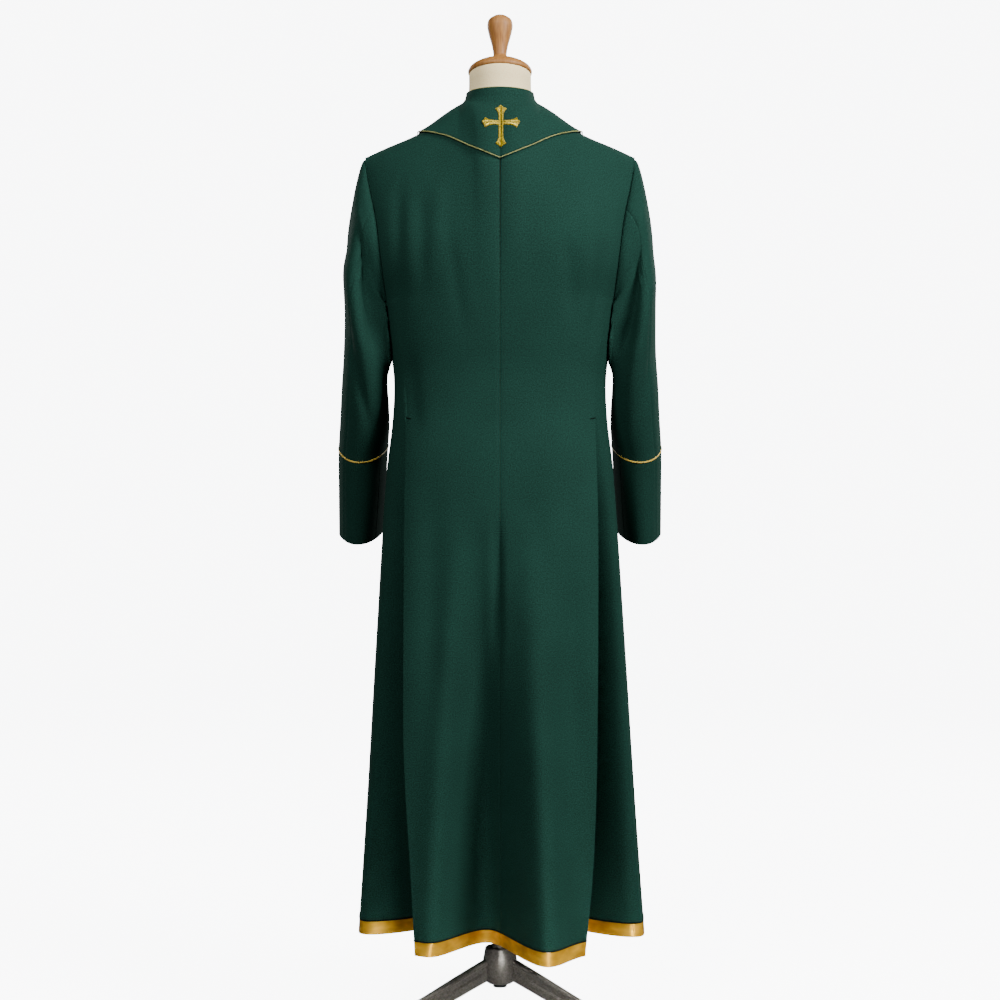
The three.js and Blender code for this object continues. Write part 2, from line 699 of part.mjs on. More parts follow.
// Finds the place on the upper back that is seen at a given distance across and height
function findOnBack(x, z) {
  let u = x / 220;
  let v = 0.85;
  for (let i = 0; i < 14; i += 1) {
    const here = upperBack(u, v);
    const du = upperBack(u + 0.001, v).sub(here).multiplyScalar(1000);
    const dv = upperBack(u, v - 0.001).sub(here).multiplyScalar(-1000);
    const whole = du.x * dv.z - du.z * dv.x;
    u += ((x - here.x) * dv.z - (z - here.z) * dv.x) / whole;
    v += (du.x * (z - here.z) - du.z * (x - here.x)) / whole;
    u = Math.max(u, 0);
    v = Math.min(v, 1);
  }
  return { u, v };
}

// A point of the fall: turn 0 at the centre back, 1 at the shoulder seam, 2 at the centre front
const fallEdges = new Map();

function fallEdge(turn) {
  if (!fallEdges.has(turn)) {
    const at = (table, name) => read(table, 'turn', turn, name);
    const behind = () => findOnBack(at(FALL_EDGE_BACK, 'x'), at(FALL_EDGE_BACK, 'z'));
    const before = () => ({ u: at(FALL_EDGE_FRONT, 'u'), v: at(FALL_EDGE_FRONT, 'v') });
    const seam = () => ({ u: FALL_EDGE_FRONT[0].u, v: 1 });
    fallEdges.set(turn, turn < 1 ? behind() : turn === 1 ? seam() : before());
  }
  return fallEdges.get(turn);
}

function rollPoint(turn) {
  const angle = radians(90 * turn);
  const depth = turn < 1 ? 61 : 58;
  const z = turn < 1 ? 1581 - turn : 1580 - 14 * (turn - 1) ** 2;
  return point(57.3 * Math.sin(angle), -depth * Math.cos(angle), z);
}

function fallPoint(turn, run, extra = 0) {
  const side = turn < 0 ? -1 : 1;
  const around = Math.abs(turn);
  const at = (name) => read(FALL_ROWS, 'run', run, name);
  const edge = fallEdge(around);
  const start = around <= 1 ? around * NECK_SHARE : (2 - around) * NECK_SHARE;
  const face = around <= 1 ? upperBack : upperFront;
  const lying = face(mix(start, edge.u, at('out')), mix(1, edge.v, at('out')));
  const lift = lying.clone().sub(point(0.5 * lying.x, 0, 1400)).normalize();
  lying.addScaledVector(lift, at('lift') + 3 * Math.max(0, around - 1.3) + extra);
  const place = rollPoint(around).lerp(lying, at('settle'));
  return point(side * place.x, place.y, place.z);
}

function fallTurns() {
  const half = [0.12, 0.24, 0.36, 0.48, 0.6, 0.72, 0.84, 0.93, 1, 1.08, 1.18, 1.3, 1.45, 1.6, 1.77, 1.93];
  return [...half.map((turn) => -turn).reverse(), 0, ...half];
}

function collar() {
  const turns = fallTurns();
  const rows = FALL_ROWS.map(({ run }) => turns.map((turn) => fallPoint(turn, run)));
  cloth('collar_fall', [{ rows }], spine, CLOTH, WOOL, 0);
  const standTurns = turns.map((turn) => (Math.abs(turn) > 1.9 ? Math.sign(turn) * 1.97 : turn));
  const top = standTurns.map((turn) => {
    const place = rollPoint(Math.abs(turn));
    return point(Math.sign(turn) * place.x * 0.964, place.y * 0.964, place.z);
  });
  const bottom = standTurns.map((turn) => {
    const around = Math.abs(turn);
    const behind = around <= 1;
    const place = topEdge(behind ? around * NECK_SHARE : (2 - around) * NECK_SHARE, behind ? NAPE : THROAT);
    return point(Math.sign(turn) * (place.x - 0.5), place.y * 0.985, place.z + 1.4);
  });
  const middle = top.map((place, i) => place.clone().lerp(bottom[i], 0.5));
  cloth('collar_stand', [{ rows: [top, middle, bottom] }], spine, 1.4, WOOL, 0);
  const edge = turns.filter((turn) => Math.abs(turn) < 1.9).map((turn) => {
    const rim = fallPoint(turn, 1);
    const out = rim.clone().sub(fallPoint(turn, 0.97)).normalize();
    const way = fallPoint(turn + 0.03, 1).sub(fallPoint(turn - 0.03, 1)).normalize();
    out.addScaledVector(way, -out.dot(way)).normalize();
    rim.addScaledVector(out, SEAM_GAP + COLLAR_PIPING + 0.4);
    return rim.addScaledVector(rim.clone().sub(point(0.5 * rim.x, 0, 1400)).normalize(), -0.1);
  });
  add('collar_piping', cord(edge, COLLAR_PIPING, 64), GOLD_CORD);
}

// The cross: an upright and two arms, each widening to an end with three small points
function crossOutline() {
  const bar = 4.2;
  const flare = 8.2;
  const end = (length) => [
    [bar, length - 13],
    [bar + 1, length - 8.5],
    [flare, length - 6],
    [bar + 0.6, length - 3.4],
    [0, length],
  ];
  const arms = [
    { length: 31, turn: 0 },
    { length: 31.5, turn: -90 },
    { length: 42.5, turn: 180 },
    { length: 31.5, turn: 90 },
  ];
  const outline = [];
  for (const { length, turn } of arms) {
    const half = end(length);
    const left = half.map(([x, y]) => [-x, y]);
    const right = half.slice(0, -1).reverse();
    const cosine = Math.round(Math.cos(radians(turn)));
    const sine = Math.round(Math.sin(radians(turn)));
    for (const [x, y] of [[-bar, bar], ...left, ...right]) {
      outline.push(new THREE.Vector2(x * cosine - y * sine, x * sine + y * cosine));
    }
  }
  return outline;
}

// The place on the fall's outer face that is seen at a given distance across and height
function findOnFall(x, z, extra) {
  let turn = x / 150;
  let run = (1578 - z) / 125;
  for (let i = 0; i < 12; i += 1) {
    const here = fallPoint(turn, run, extra);
    const du = fallPoint(turn + 0.002, run, extra).sub(here).multiplyScalar(500);
    const dv = fallPoint(turn, run + 0.002, extra).sub(here).multiplyScalar(500);
    const whole = du.x * dv.z - du.z * dv.x;
    turn += ((x - here.x) * dv.z - (z - here.z) * dv.x) / whole;
    run += (du.x * (z - here.z) - du.z * (x - here.x)) / whole;
  }
  return fallPoint(turn, run, extra);
}

function collarCross() {
  const flat = new THREE.ExtrudeGeometry(new THREE.Shape(crossOutline()), { depth: 1, bevelEnabled: false });
  const fine = new TessellateModifier(9, 8).modify(flat);
  const place = fine.getAttribute('position');
  for (let i = 0; i < place.count; i += 1) {
    const raised = place.getZ(i);
    const on = findOnFall(place.getX(i) + 1.5, 1515.7 + place.getY(i), mix(0.8, 2, raised));
    place.setXYZ(i, on.x, on.y, on.z);
  }
  add('collar_cross', fine, STITCHES);
}

// The dress form: the body's own face moved inwards, closed over the arms, with a neck
function formRing(z) {
  const points = [];
  for (let i = 0; i < 32; i += 1) points.push(ovalPoint(FORM, z, (i * 360) / 32, 2.3));
  return points;
}

function formTorso() {
  const across = [0, 1 / 12, 1 / 6, 1 / 4, 1 / 3, 1 / 2, 2 / 3, 5 / 6, 1];
  const plate = [1 / 3, 2 / 3];
  const ring = (v) => {
    const half = across.map((u) => upperBack(u, v));
    const front = across.map((u) => upperFront(u, v));
    for (const share of plate) {
      const place = half[across.length - 1].clone().lerp(front[front.length - 1], share);
      if (v > 0 && v < 1) place.x += 8 * Math.sin(Math.PI * v);
      half.push(place);
    }
    return [...half, ...front.reverse()];
  };
  const right = HIGH_ROWS.map(ring);
  const whole = right.map((row) => {
    const left = row.slice(1, -1).reverse().map((place) => point(-place.x, place.y, place.z));
    return [...row, ...left];
  });
  const columns = whole[0].length;
  const low = [1228, 1185, 1128, 1060, 990, 925, 870].map((z) => formSection(z, columns));
  const bottom = formSection(855, columns);
  const neckline = [];
  for (let turn = 0; turn < 4; turn += 0.25) neckline.push(necklinePoint(turn));
  const neck = (z, half, behind, before, lean) => neckline.map((_, i) => {
    const angle = radians(22.5 * i);
    const y = -Math.cos(angle) * (Math.cos(angle) > 0 ? behind : before);
    return point(half * Math.sin(angle), y, z - lean * y);
  });
  const lean = Math.tan(radians(CAP_LEAN));
  const neckRows = [neck(1613, 52.8, 55.6, 50, lean), neck(1585, 53, 56, 51, 0.1), neck(1568, 55, 59, 53, 0)];
  const crown = Array(neckline.length).fill(point(0, -3, 1613 + 3 * lean));
  const base = Array(columns).fill(point(0, 0, 855));
  const grids = [
    { rows: [crown, ...neckRows, neckline], closed: true },
    { rows: [...whole, ...low, bottom, base], closed: true },
  ];
  const surface = faceOut(weave(grids), spine);
  const normals = surface.points.map(() => []);
  surface.faces.forEach((face) => {
    const normal = faceNormal(surface, face);
    face.forEach((corner) => normals[corner].push(normal));
  });
  const points = surface.points.map((place, i) => {
    if (place.z <= CHEST || place.z > 1560) return place;
    const inset = mix(5.4, CLOTH + 2.6, Math.min(Math.max((place.z - 1400) / 70, 0), 1));
    const lap = place.y > 40 ? 3.4 : 0;
    return place.clone().addScaledVector(mitre(normals[i]), -inset - lap);
  });
  add('form_torso', solid(points, surface.faces.flat()), LINEN);
}

// A ring of the form with its corners at even steps, starting at the centre back
function formSection(z, columns) {
  const points = [];
  for (let i = 0; i < columns; i += 1) points.push(ovalPoint(FORM, z, (i * 360) / columns, 2.3));
  return points;
}

// Neckline by quarter turns from the centre back
function necklinePoint(turn) {
  const around = turn > 2 ? 4 - turn : turn;
  const behind = around <= 1;
  const place = topEdge(behind ? around * NECK_SHARE : (2 - around) * NECK_SHARE, behind ? NAPE : THROAT);
  return point(turn > 2 ? -place.x : place.x, place.y, place.z);
}

// Round parts turned about an upright axis, from pairs of radius and height
function turned(profile, segments) {
  const points = profile.map(([radius, height]) => new THREE.Vector2(radius, height));
  return new THREE.LatheGeometry(points, segments).rotateX(Math.PI / 2);
}

function neckTop() {
  const cap = [[0, 0], [53, 0], [54.4, 1.5], [54.4, 5], [50, 10], [38, 17], [22, 23.5], [15, 25.5], [0, 25.5]];
  const handle = [[0, 0], [14.5, 0], [14.2, 2], [10.6, 8], [10.8, 14], [13, 26], [17.5, 42], [20.6, 54],
    [21, 60], [18, 67], [9, 72.5], [0, 73.6]];
  const lean = radians(-CAP_LEAN);
  const seat = 1613.7;
  const capGeometry = turned(cap, 32).rotateX(lean).translate(0, -3, seat);
  const handleGeometry = turned(handle, 24).translate(0, 0, 25.8).rotateX(lean).translate(0, -3, seat);
  add('neck_cap', capGeometry, WOOD);
  add('neck_handle', handleGeometry, WOOD);
}

// One leg as a strip of grooved sections, level at the foot
function legGeometry(angle) {
  const section = [[5, 0.5], [7, 0.42], [7, 0.3], [4.6, 0.24], [4.6, 0.02], [8, -0.08], [8, -0.22], [6, -0.5]];
  const outline = [...section, ...section.map(([x, z]) => [-x, z]).reverse()];
  const rows = LEG.map(({ reach, top, tall }) => outline.map(([x, share]) => {
    const narrow = mix(1, 0.8, reach / LEG_REACH);
    return point(x * narrow, -reach, top - tall / 2 + share * tall);
  }));
  const cap = (row) => {
    const middle = row.reduce((sum, place) => sum.add(place), point(0, 0, 0)).divideScalar(row.length);
    return Array(row.length).fill(middle);
  };
  const grids = [{ rows: [cap(rows[0]), ...rows, cap(rows[rows.length - 1])], closed: true }];
  const surface = faceOut(weave(grids), (place) => point(0, place.y, mix(95, 17, -place.y / LEG_REACH)));
  return solid(surface.points, surface.faces.flat()).rotateZ(angle);
}

function stand() {
  const pole = [[0, 78], [POLE_RADIUS, 78], [POLE_RADIUS, 854.7], [0, 854.7]];
  add('pole', turned(pole, 24), METAL);
  const bore = POLE_RADIUS + SEAM_GAP;
  const hub = [[bore, 76], [20, 76], [25, 80], [HUB_RADIUS, 92], [HUB_RADIUS, 110], [26.5, 124], [25, 131],
    [22, 133], [19, 131], [bore, 129], [bore, 76]];
  add('base_hub', turned(hub, 24), METAL);
  [-60, 60, 180].forEach((degrees, i) => {
    const angle = radians(degrees);
    add(`leg_${i + 1}`, legGeometry(angle), METAL);
    const foot = turned([[0, 0], [12, 0], [13, 2], [13, 10], [12, 12], [0, 12]], 16);
    add(`foot_${i + 1}`, foot.translate(0, -264, 0).rotateZ(angle), RUBBER);
  });
}

for (const side of ['left', 'right']) {
  bodyPanels(side);
  sleeves(side);
}
collar();
pieces.forEach((piece) => add(piece.name, wall(piece), piece.material));
collarCross();
formTorso();
neckTop();
stand();

export default cassock;
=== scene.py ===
# %% [markdown]
# # A long green cassock on a dress form
# The garment hangs back to front of the camera on a form without limbs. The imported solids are
# loaded first, because they fix every place and size. Lengths below are in millimetres, as a
# cutter would note them, and they are turned to metres when a mesh is made.

import bmesh
import bpy
import numpy as np
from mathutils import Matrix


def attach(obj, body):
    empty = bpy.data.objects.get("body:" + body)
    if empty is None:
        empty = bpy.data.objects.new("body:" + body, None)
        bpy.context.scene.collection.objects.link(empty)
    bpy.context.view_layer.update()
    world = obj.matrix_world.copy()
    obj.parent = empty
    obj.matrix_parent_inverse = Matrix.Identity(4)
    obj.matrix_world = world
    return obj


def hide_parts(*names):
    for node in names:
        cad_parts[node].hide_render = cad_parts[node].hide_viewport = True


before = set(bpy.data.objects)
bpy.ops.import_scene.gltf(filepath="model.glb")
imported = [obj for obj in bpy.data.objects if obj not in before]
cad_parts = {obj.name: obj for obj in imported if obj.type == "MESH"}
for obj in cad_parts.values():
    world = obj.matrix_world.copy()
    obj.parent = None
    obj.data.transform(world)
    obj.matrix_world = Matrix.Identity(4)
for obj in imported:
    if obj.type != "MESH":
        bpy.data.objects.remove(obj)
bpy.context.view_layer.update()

# %% [markdown]
# ## Camera, backdrop and light
# The photograph looks level at the back of the garment from about 3.4 m, with a short telephoto
# lens. A pale sweep that runs from the floor up behind the form gives the even studio ground. The
# main light is large and stands on the right, so the left sleeve falls into shade. A low light
# reaches the stand, and two behind the garment show its front in the other views.

# %% Camera and stage
PALE = "#f6f7f9"


def linear(code):
    """An sRGB hex colour as linear red, green, blue and alpha."""
    value = np.array([int(code[i : i + 2], 16) / 255 for i in (1, 3, 5)])
    value = np.where(value <= 0.04045, value / 12.92, ((value + 0.055) / 1.055) ** 2.4)
    return (*value.tolist(), 1.0)


def place_camera():
    data = bpy.data.cameras.new("studio_camera")
    data.lens = 72
    data.sensor_width = 36
    camera = bpy.data.objects.new("studio_camera", data)
    camera.location = (0, -3.4, 0.891)
    camera.rotation_euler = (np.pi / 2, 0, 0)
    bpy.context.scene.collection.objects.link(camera)
    bpy.context.scene.camera = camera


def softbox(name, place, target, size, power, spread=180):
    """A square area light at a place, turned to a target; a grid on it may narrow its spread."""
    data = bpy.data.lights.new(name, "AREA")
    data.shape = "SQUARE"
    data.size = size
    data.energy = power
    data.spread = np.radians(spread)
    light = bpy.data.objects.new(name, data)
    light.location = place
    x, y, z = np.array(place, float) - np.array(target, float)
    light.rotation_euler = (np.arctan2(np.hypot(x, y), z), 0, np.arctan2(x, -y))
    bpy.context.scene.collection.objects.link(light)


place_camera()
softbox("key_softbox", (2.5, -2.0, 3.0), (0, 0, 1.3), 1.1, 235)
softbox("fill_softbox", (-1.3, -2.7, 3.2), (0, 0, 1.45), 1.1, 98)
softbox("stand_softbox", (0.5, -2.6, 0.28), (0, 0, -0.34), 0.5, 3.6, 28)
softbox("front_softbox_right", (2.4, 3.2, 2.6), (0, 0, 1.0), 1.2, 75)
softbox("front_softbox_left", (-2.4, 3.2, 2.3), (0, 0, 1.0), 1.2, 45)
print("lights", [light.name for light in bpy.data.lights])

# %% [markdown]
# ## Meshes from grids of points
# Each piece is a grid of points worked out from two parameters. One function makes the mesh, and
# turns the faces outwards by the sign of the volume that they close. A grid is easy to measure,
# and its rows and columns follow the threads of the real cloth.


# %% Mesh helpers
MM = 0.001
SPINE_TOP = 1400


def xyz(x, y, z):
    """Points from three arrays of any matching shape."""
    return np.stack(np.broadcast_arrays(x, y, z), axis=-1).astype(float)


def unit(vectors):
    return vectors / np.maximum(np.linalg.norm(vectors, axis=-1, keepdims=True), 1e-9)


def grid_faces(ids):
    """Four-cornered faces between neighbouring rows and columns of corner numbers."""
    a, b, c, d = ids[:-1, :-1], ids[:-1, 1:], ids[1:, 1:], ids[1:, :-1]
    return np.stack([a, b, c, d], axis=-1).reshape(-1, 4)


def shell_faces(rows, columns, ends=True, sides=True, start=0):
    """Faces of a front grid, of a back grid numbered after it, and of the rims between them."""
    ids = np.arange(rows * columns).reshape(rows, columns) + start
    back = ids + rows * columns
    rims = [(back[0], ids[0]), (ids[-1], back[-1])] * ends
    rims += [(ids[:, 0], back[:, 0]), (back[:, -1], ids[:, -1])] * sides
    faces = [grid_faces(ids), grid_faces(back)[:, ::-1]]
    return np.concatenate(faces + [grid_faces(np.stack(rim)) for rim in rims])


def signed_volume(points, faces):
    """Sum over the faces of corner dot (corner cross corner): positive when they face out."""
    a, b, c, d = (points[faces[:, i]] for i in range(4))
    return np.sum(a * np.cross(b, c)) + np.sum(a * np.cross(c, d))


def piece(name, points, faces, uv, material, stands_for, slot, sharp=35):
    """A mesh object from points in millimetres, whose equal points are merged to close it."""
    if signed_volume(points, faces) < 0:
        faces = faces[:, ::-1]
    mesh = bpy.data.meshes.new(name)
    mesh.from_pydata((points * MM).tolist(), [], faces.tolist())
    layer = mesh.uv_layers.new(name="Surface")
    layer.data.foreach_set("uv", (uv * MM)[faces.ravel()].astype(np.float32).ravel())
    shape = bmesh.new()
    shape.from_mesh(mesh)
    bmesh.ops.remove_doubles(shape, verts=shape.verts, dist=4e-6)
    shape.to_mesh(mesh)
    shape.free()
    mesh.polygons.foreach_set("use_smooth", np.ones(len(mesh.polygons), bool))
    mesh.set_sharp_from_angle(angle=np.radians(sharp))
    mesh.materials.append(material)
    made = bpy.data.objects.new(name, mesh)
    bpy.context.scene.collection.objects.link(made)
    if stands_for:
        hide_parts(stands_for)
    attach(made, "root")
    print(name, len(mesh.polygons), "faces, all numbers:", bool(np.isfinite(points).all()))
    return made


# %% [markdown]
# ## Cloth as a thin shell
# Cloth is a grid with a second one set back behind it, so that it is as thin as the real wool and
# still closed. The same grid gives the flat piece: its rows and columns, measured along the
# cloth, are the width and the length that a cutter would lay out.


# %% Cloth shells
def grid_normals(points, inside, closed=False):
    """Unit normals: the cross product of the grid's two directions, facing away from inside."""
    if closed:
        padded = np.concatenate([points[:, -2:-1], points, points[:, 1:2]], axis=1)
        across = np.gradient(padded, axis=1)[:, 1:-1]
    else:
        across = np.gradient(points, axis=1)
    normals = unit(np.cross(across, np.gradient(points, axis=0)))
    outward = np.sum(normals * unit(points - inside(points)))
    return normals if outward > 0 else -normals


def grid_uv(points):
    """Distances in millimetres along rows and down columns, as on a cutter's flat piece."""
    along = np.linalg.norm(np.diff(points, axis=1), axis=2)
    fall = np.linalg.norm(np.diff(points, axis=0), axis=2).mean(axis=1)
    u = np.concatenate([np.zeros((len(points), 1)), np.cumsum(along, axis=1)], axis=1)
    v = np.broadcast_to(np.concatenate([[0], np.cumsum(fall)])[:, None], u.shape)
    return np.stack([u - u[:, u.shape[1] // 2 : u.shape[1] // 2 + 1], v], axis=-1)


def spine(points):
    """The middle of the body at each point's height, no higher than the shoulders."""
    return xyz(0 * points[..., 0], 0, np.minimum(points[..., 2], SPINE_TOP))


CLOTH = 1.6


def cloth(
    name, points, material, stands_for, slot,
    inside=spine, thick=CLOTH, closed=False, shape=None,
):
    """A thin closed shell: the grid, the same grid set back along its normals, and rims."""
    normals = grid_normals(points, inside, closed)
    if shape is not None:
        points = points + normals * shape[..., None]
        normals = grid_normals(points, inside, closed)
    both = np.concatenate([points.reshape(-1, 3), (points - normals * thick).reshape(-1, 3)])
    uv = np.tile(grid_uv(points).reshape(-1, 2), (2, 1))
    faces = shell_faces(*points.shape[:2], sides=not closed)
    made = piece(name, both, faces, uv, material, stands_for, slot)
    return made


# %% [markdown]
# ## Materials of cloth
# The body is a fine wool twill, woven on a loom and pressed, so it is matt with a soft sheen and
# a faint diagonal rib. The real rib is about 0.6 mm apart and is drawn at 1.6 mm, so that it shows
# close by. Satin bands shine like metal, and their colour carries painted reflections in broad
# lighter and darker patches. Cords show a diagonal twist.


# %% Cloth materials
def new_material(name):
    material = bpy.data.materials.new(name)
    material.use_nodes = True
    tree = material.node_tree
    tree.nodes.clear()
    return material, tree


def node(tree, kind, inputs, **settings):
    """Adds one node; inputs gives each socket a number, a colour or another node's output."""
    made = tree.nodes.new(kind)
    for key, value in settings.items():
        setattr(made, key, value)
    for socket, value in inputs.items():
        if isinstance(value, bpy.types.NodeSocket):
            tree.links.new(value, made.inputs[socket])
        else:
            made.inputs[socket].default_value = value
    return made


def ramp(tree, source, low, high, start=0.0, end=1.0):
    """Turns a number from start to end into a colour from low to high."""
    made = node(tree, "ShaderNodeValToRGB", {"Fac": source})
    made.color_ramp.elements[0].position = start
    made.color_ramp.elements[1].position = end
    made.color_ramp.elements[0].color = linear(low)
    made.color_ramp.elements[1].color = linear(high)
    return made.outputs["Color"]


def surface_coords(tree):
    return node(tree, "ShaderNodeUVMap", {}, uv_map="Surface").outputs["UV"]


def object_coords(tree):
    return node(tree, "ShaderNodeTexCoord", {}).outputs["Object"]


def mapped(tree, coords, lean=0, scale=(1.0, 1.0, 1.0)):
    """The same coordinates turned by a lean in degrees and scaled."""
    inputs = {"Vector": coords, "Rotation": (0, 0, np.radians(lean)), "Scale": scale}
    return node(tree, "ShaderNodeMapping", inputs).outputs["Vector"]


def noise(tree, coords, scale, detail):
    inputs = {"Vector": coords, "Scale": scale, "Detail": detail}
    return node(tree, "ShaderNodeTexNoise", inputs).outputs["Fac"]


def stripes(tree, coords, apart, way, others):
    """Bands that lie some millimetres apart; the Wave Texture turns 20 radians a unit."""
    inputs = {"Vector": coords, "Scale": 2 * np.pi / (20 * apart * MM), **others}
    return node(tree, "ShaderNodeTexWave", inputs, bands_direction=way).outputs["Fac"]


def sums(tree, operation, *values):
    return node(tree, "ShaderNodeMath", dict(enumerate(values)), operation=operation).outputs[0]


def finish(tree, colour, roughness, others, height=None, strength=0.0, depth=0.0):
    """The surface: colour, roughness, its other values, and a height that dents it by a depth."""
    inputs = {"Base Color": colour, "Roughness": roughness, **others}
    if height is not None:
        dents = {"Strength": strength, "Distance": depth, "Height": height}
        inputs["Normal"] = node(tree, "ShaderNodeBump", dents).outputs["Normal"]
    shader = node(tree, "ShaderNodeBsdfPrincipled", inputs)
    node(tree, "ShaderNodeOutputMaterial", {"Surface": shader.outputs["BSDF"]})


print("dark wool in linear light", np.round(linear("#122721"), 4).tolist())

# %% [markdown]
# ## Wool, near-black strip, satin and cord
# Each weave is a function of its two colours and its real spacings. The same twill function gives
# the near-black strips beside the seams and the linen of the form, with other numbers.

# %% Weaves
FIBRE_SHEEN = {
    "Specular IOR Level": 0.12,
    "Specular Tint": linear("#a0e0c8"),
    "Sheen Weight": 0.02,
    "Sheen Roughness": 0.4,
    "Sheen Tint": linear("#7fd0b8"),
}


def woven(name, low, high, rib, lean, roughness, speck, strength):
    """Cloth with a diagonal rib, flecked by uneven yarn (size speck) and faintly mottled."""
    material, tree = new_material(name)
    coords = surface_coords(tree)
    uneven = {"Distortion": 0.6, "Detail Scale": 2.0}
    ribs = stripes(tree, mapped(tree, coords, lean), rib, "X", uneven)
    fleck, cloud = noise(tree, coords, 1000 / speck, 2.0), noise(tree, coords, 9.0, 2.0)
    mottled = sums(tree, "ADD", sums(tree, "MULTIPLY", cloud, 0.18), fleck)
    colour = ramp(tree, mottled, low, high, 0.38, 0.8)
    finish(tree, colour, roughness, FIBRE_SHEEN, sums(tree, "ADD", ribs, fleck), strength, 0.0004)
    return material


def satin_weave(name, low, high):
    """Satin: long floats and pressed waves dent it; colour on the waves is painted reflection."""
    material, tree = new_material(name)
    long = mapped(tree, surface_coords(tree), 20, (0.4, 1.0, 1.0))
    pressed_waves_and_painted_shine, floats = noise(tree, long, 48.0, 2.0), noise(tree, long, 700.0, 1.0)
    height = sums(tree, "MULTIPLY_ADD", pressed_waves_and_painted_shine, 9.0, floats)
    shine = {"Metallic": 0.45, "Specular Tint": linear("#ffd873")}
    # The ramp over the pressed waves is painted reflection: darker and brighter patches of shine.
    finish(tree, ramp(tree, pressed_waves_and_painted_shine, low, high, 0.3, 0.7), 0.4, shine, height, 0.5, 0.0005)
    return material


def twisted(name, low, high, pitch, lean, roughness):
    """Cord: strands that run round it at a lean, from the distances along and round the cord."""
    material, tree = new_material(name)
    around = mapped(tree, surface_coords(tree), lean)
    strands = stripes(tree, around, pitch, "X", {"Distortion": 0.3})
    sheen = {"Sheen Weight": 0.15, "Sheen Tint": linear("#fff2cc")}
    colour = ramp(tree, strands, low, high, 0.1, 0.8)
    finish(tree, colour, roughness, sheen, strands, 0.6, 0.0005)
    return material


wool = woven("pressed_wool_twill", "#122721", "#1d3f36", 1.6, 32, 0.85, 2.0, 0.3)
near_black_twill = woven("near_black_green_twill", "#050d0a", "#0a1812", 1.2, 60, 0.7, 2.0, 0.4)
# Two golds mixed in broad patches paint the satin's reflections, darker and brighter.
satin = satin_weave("gold_satin_weave", "#b57e12", "#fdc238")
gold_cord = twisted("twisted_gold_cord", "#8c6c14", "#ecc850", 1.8, 40, 0.45)
pale_cord = twisted("twisted_pale_gold_cord", "#525624", "#a2a868", 1.6, 40, 0.45)
print("materials", [material.name for material in bpy.data.materials])

# %% [markdown]
# ## Curves that the pattern is cut to
# The cutter's sizes are short tables, with a smooth curve through their rows. A body section is a
# rounded oval, and the skirt widens from the waist to the hem.

# %% Tables of the body
HEM, BAND, CHEST, UNDERARM, PLEAT_TOP = 160, 22, 1228, 1222, 1029
SHOULDER_TIP, NECK_SIDE = np.array((229, -3, 1472.0)), np.array((61, -8, 1557.0))
NAPE, THROAT = (-68, 1543), (62, 1534)
NECK_SHARE = 1 / 3

# Height, half width, depth behind, depth before, squareness
BODY = [
    (1240, 198, 119, 117, 2.4),
    (1160, 188, 113, 110, 2.4),
    (1095, 180, 108, 104, 2.4),
    (1029, 182, 114, 108, 2.4),
    (950, 191, 126, 117, 2.6),
    (820, 201, 139, 128, 2.9),
    (600, 215, 157, 146, 3.4),
    (380, 228, 171, 162, 4),
    (160, 242, 185, 176, 4.5),
]
# Height, then the distance across of the seam or fold beside the centre back, left and right
BACK_EDGE = [
    (1228, 191, 191),
    (1163, 172, 172),
    (1100, 163, 163),
    (1029, 157, 159),
    (858, 158, 162),
    (684, 158, 161),
    (503, 157, 158.5),
    (401, 152.5, 156),
    (287, 144.5, 150),
    (160, 137, 137),
]
# Height, depth of the pleat, shift of its seam towards the centre
PLEAT = [
    (1029, 0, 0),
    (998, 9, 0),
    (955, 22, 0),
    (900, 42, 0),
    (838, 64, 3),
    (685, 112, 11),
    (450, 156, 17),
    (160, 205, 12),
]
SIDE_SEAM = [(1228, 91.5), (1029, 96), (160, 104)]
# Place across, reach to each side, height outwards at the hem (below 0 is a trough)
BACK_FOLDS = [(-110, 30, 30, 25), (-20, 52, 40, -88), (75, 45, 45, 88)]
# Angle round the body, width, height outwards on the left and on the right
FRONT_FOLDS = [(116, 8, 14, 18), (132, 7, -20, -16), (149, 8, 24, 20), (165, 6, -14, -18)]
FOLDS_START, FOLDS_FALL = 880, 720


def read(table, column, place):
    """A smooth curve through a table: cubic between rows, slopes from each row's neighbours."""
    rows = np.array(sorted(table), float)
    key, value = rows[:, 0], rows[:, column]
    rise = np.r_[value[1:], value[-1]] - np.r_[value[0], value[:-1]]
    slope = rise / (np.r_[key[1:], key[-1]] - np.r_[key[0], key[:-1]])
    i = np.clip(np.searchsorted(key, place) - 1, 0, len(key) - 2)
    step = key[i + 1] - key[i]
    t = np.clip((place - key[i]) / step, 0, 1)
    bend = t * (1 - t) * step
    curve = value[i] + (value[i + 1] - value[i]) * t * t * (3 - 2 * t)
    return curve + bend * ((1 - t) * slope[i] - t * slope[i + 1])


def bell(distance):
    return np.exp(-distance * distance)


def oval(table, z, angle, square):
    """A rounded oval by angle from the back: |x / half| ^ square + |y / depth| ^ square = 1."""
    z, angle = np.broadcast_arrays(z, np.radians(angle))
    across, along = np.sin(angle), np.cos(angle)
    depth = np.where(along > 0, read(table, 2, z), read(table, 3, z))
    reach = np.abs(across / read(table, 1, z)) ** square + np.abs(along / depth) ** square
    return xyz(reach ** (-1 / square) * across, -(reach ** (-1 / square)) * along, z)


def body_point(z, angle):
    return oval(BODY, z, angle, read(BODY, 4, z))


def fold_share(z):
    """How far the folds of the skirt have opened: nothing at the hips, all at the hem."""
    return np.maximum(0, (FOLDS_START - z) / FOLDS_FALL) ** 1.2


print("waist and hem, half widths", read(BODY, 1, np.array([PLEAT_TOP, HEM])))


# %% [markdown]
# ## The back below the chest
# Two long panels meet at the centre back seam. Below the waist each one turns in along a crisp
# pressed fold, and the underlay of the pleat runs deep to the side-back seam. So the depth of the
# cloth is the oval's, with bell-shaped folds that grow towards the hem.


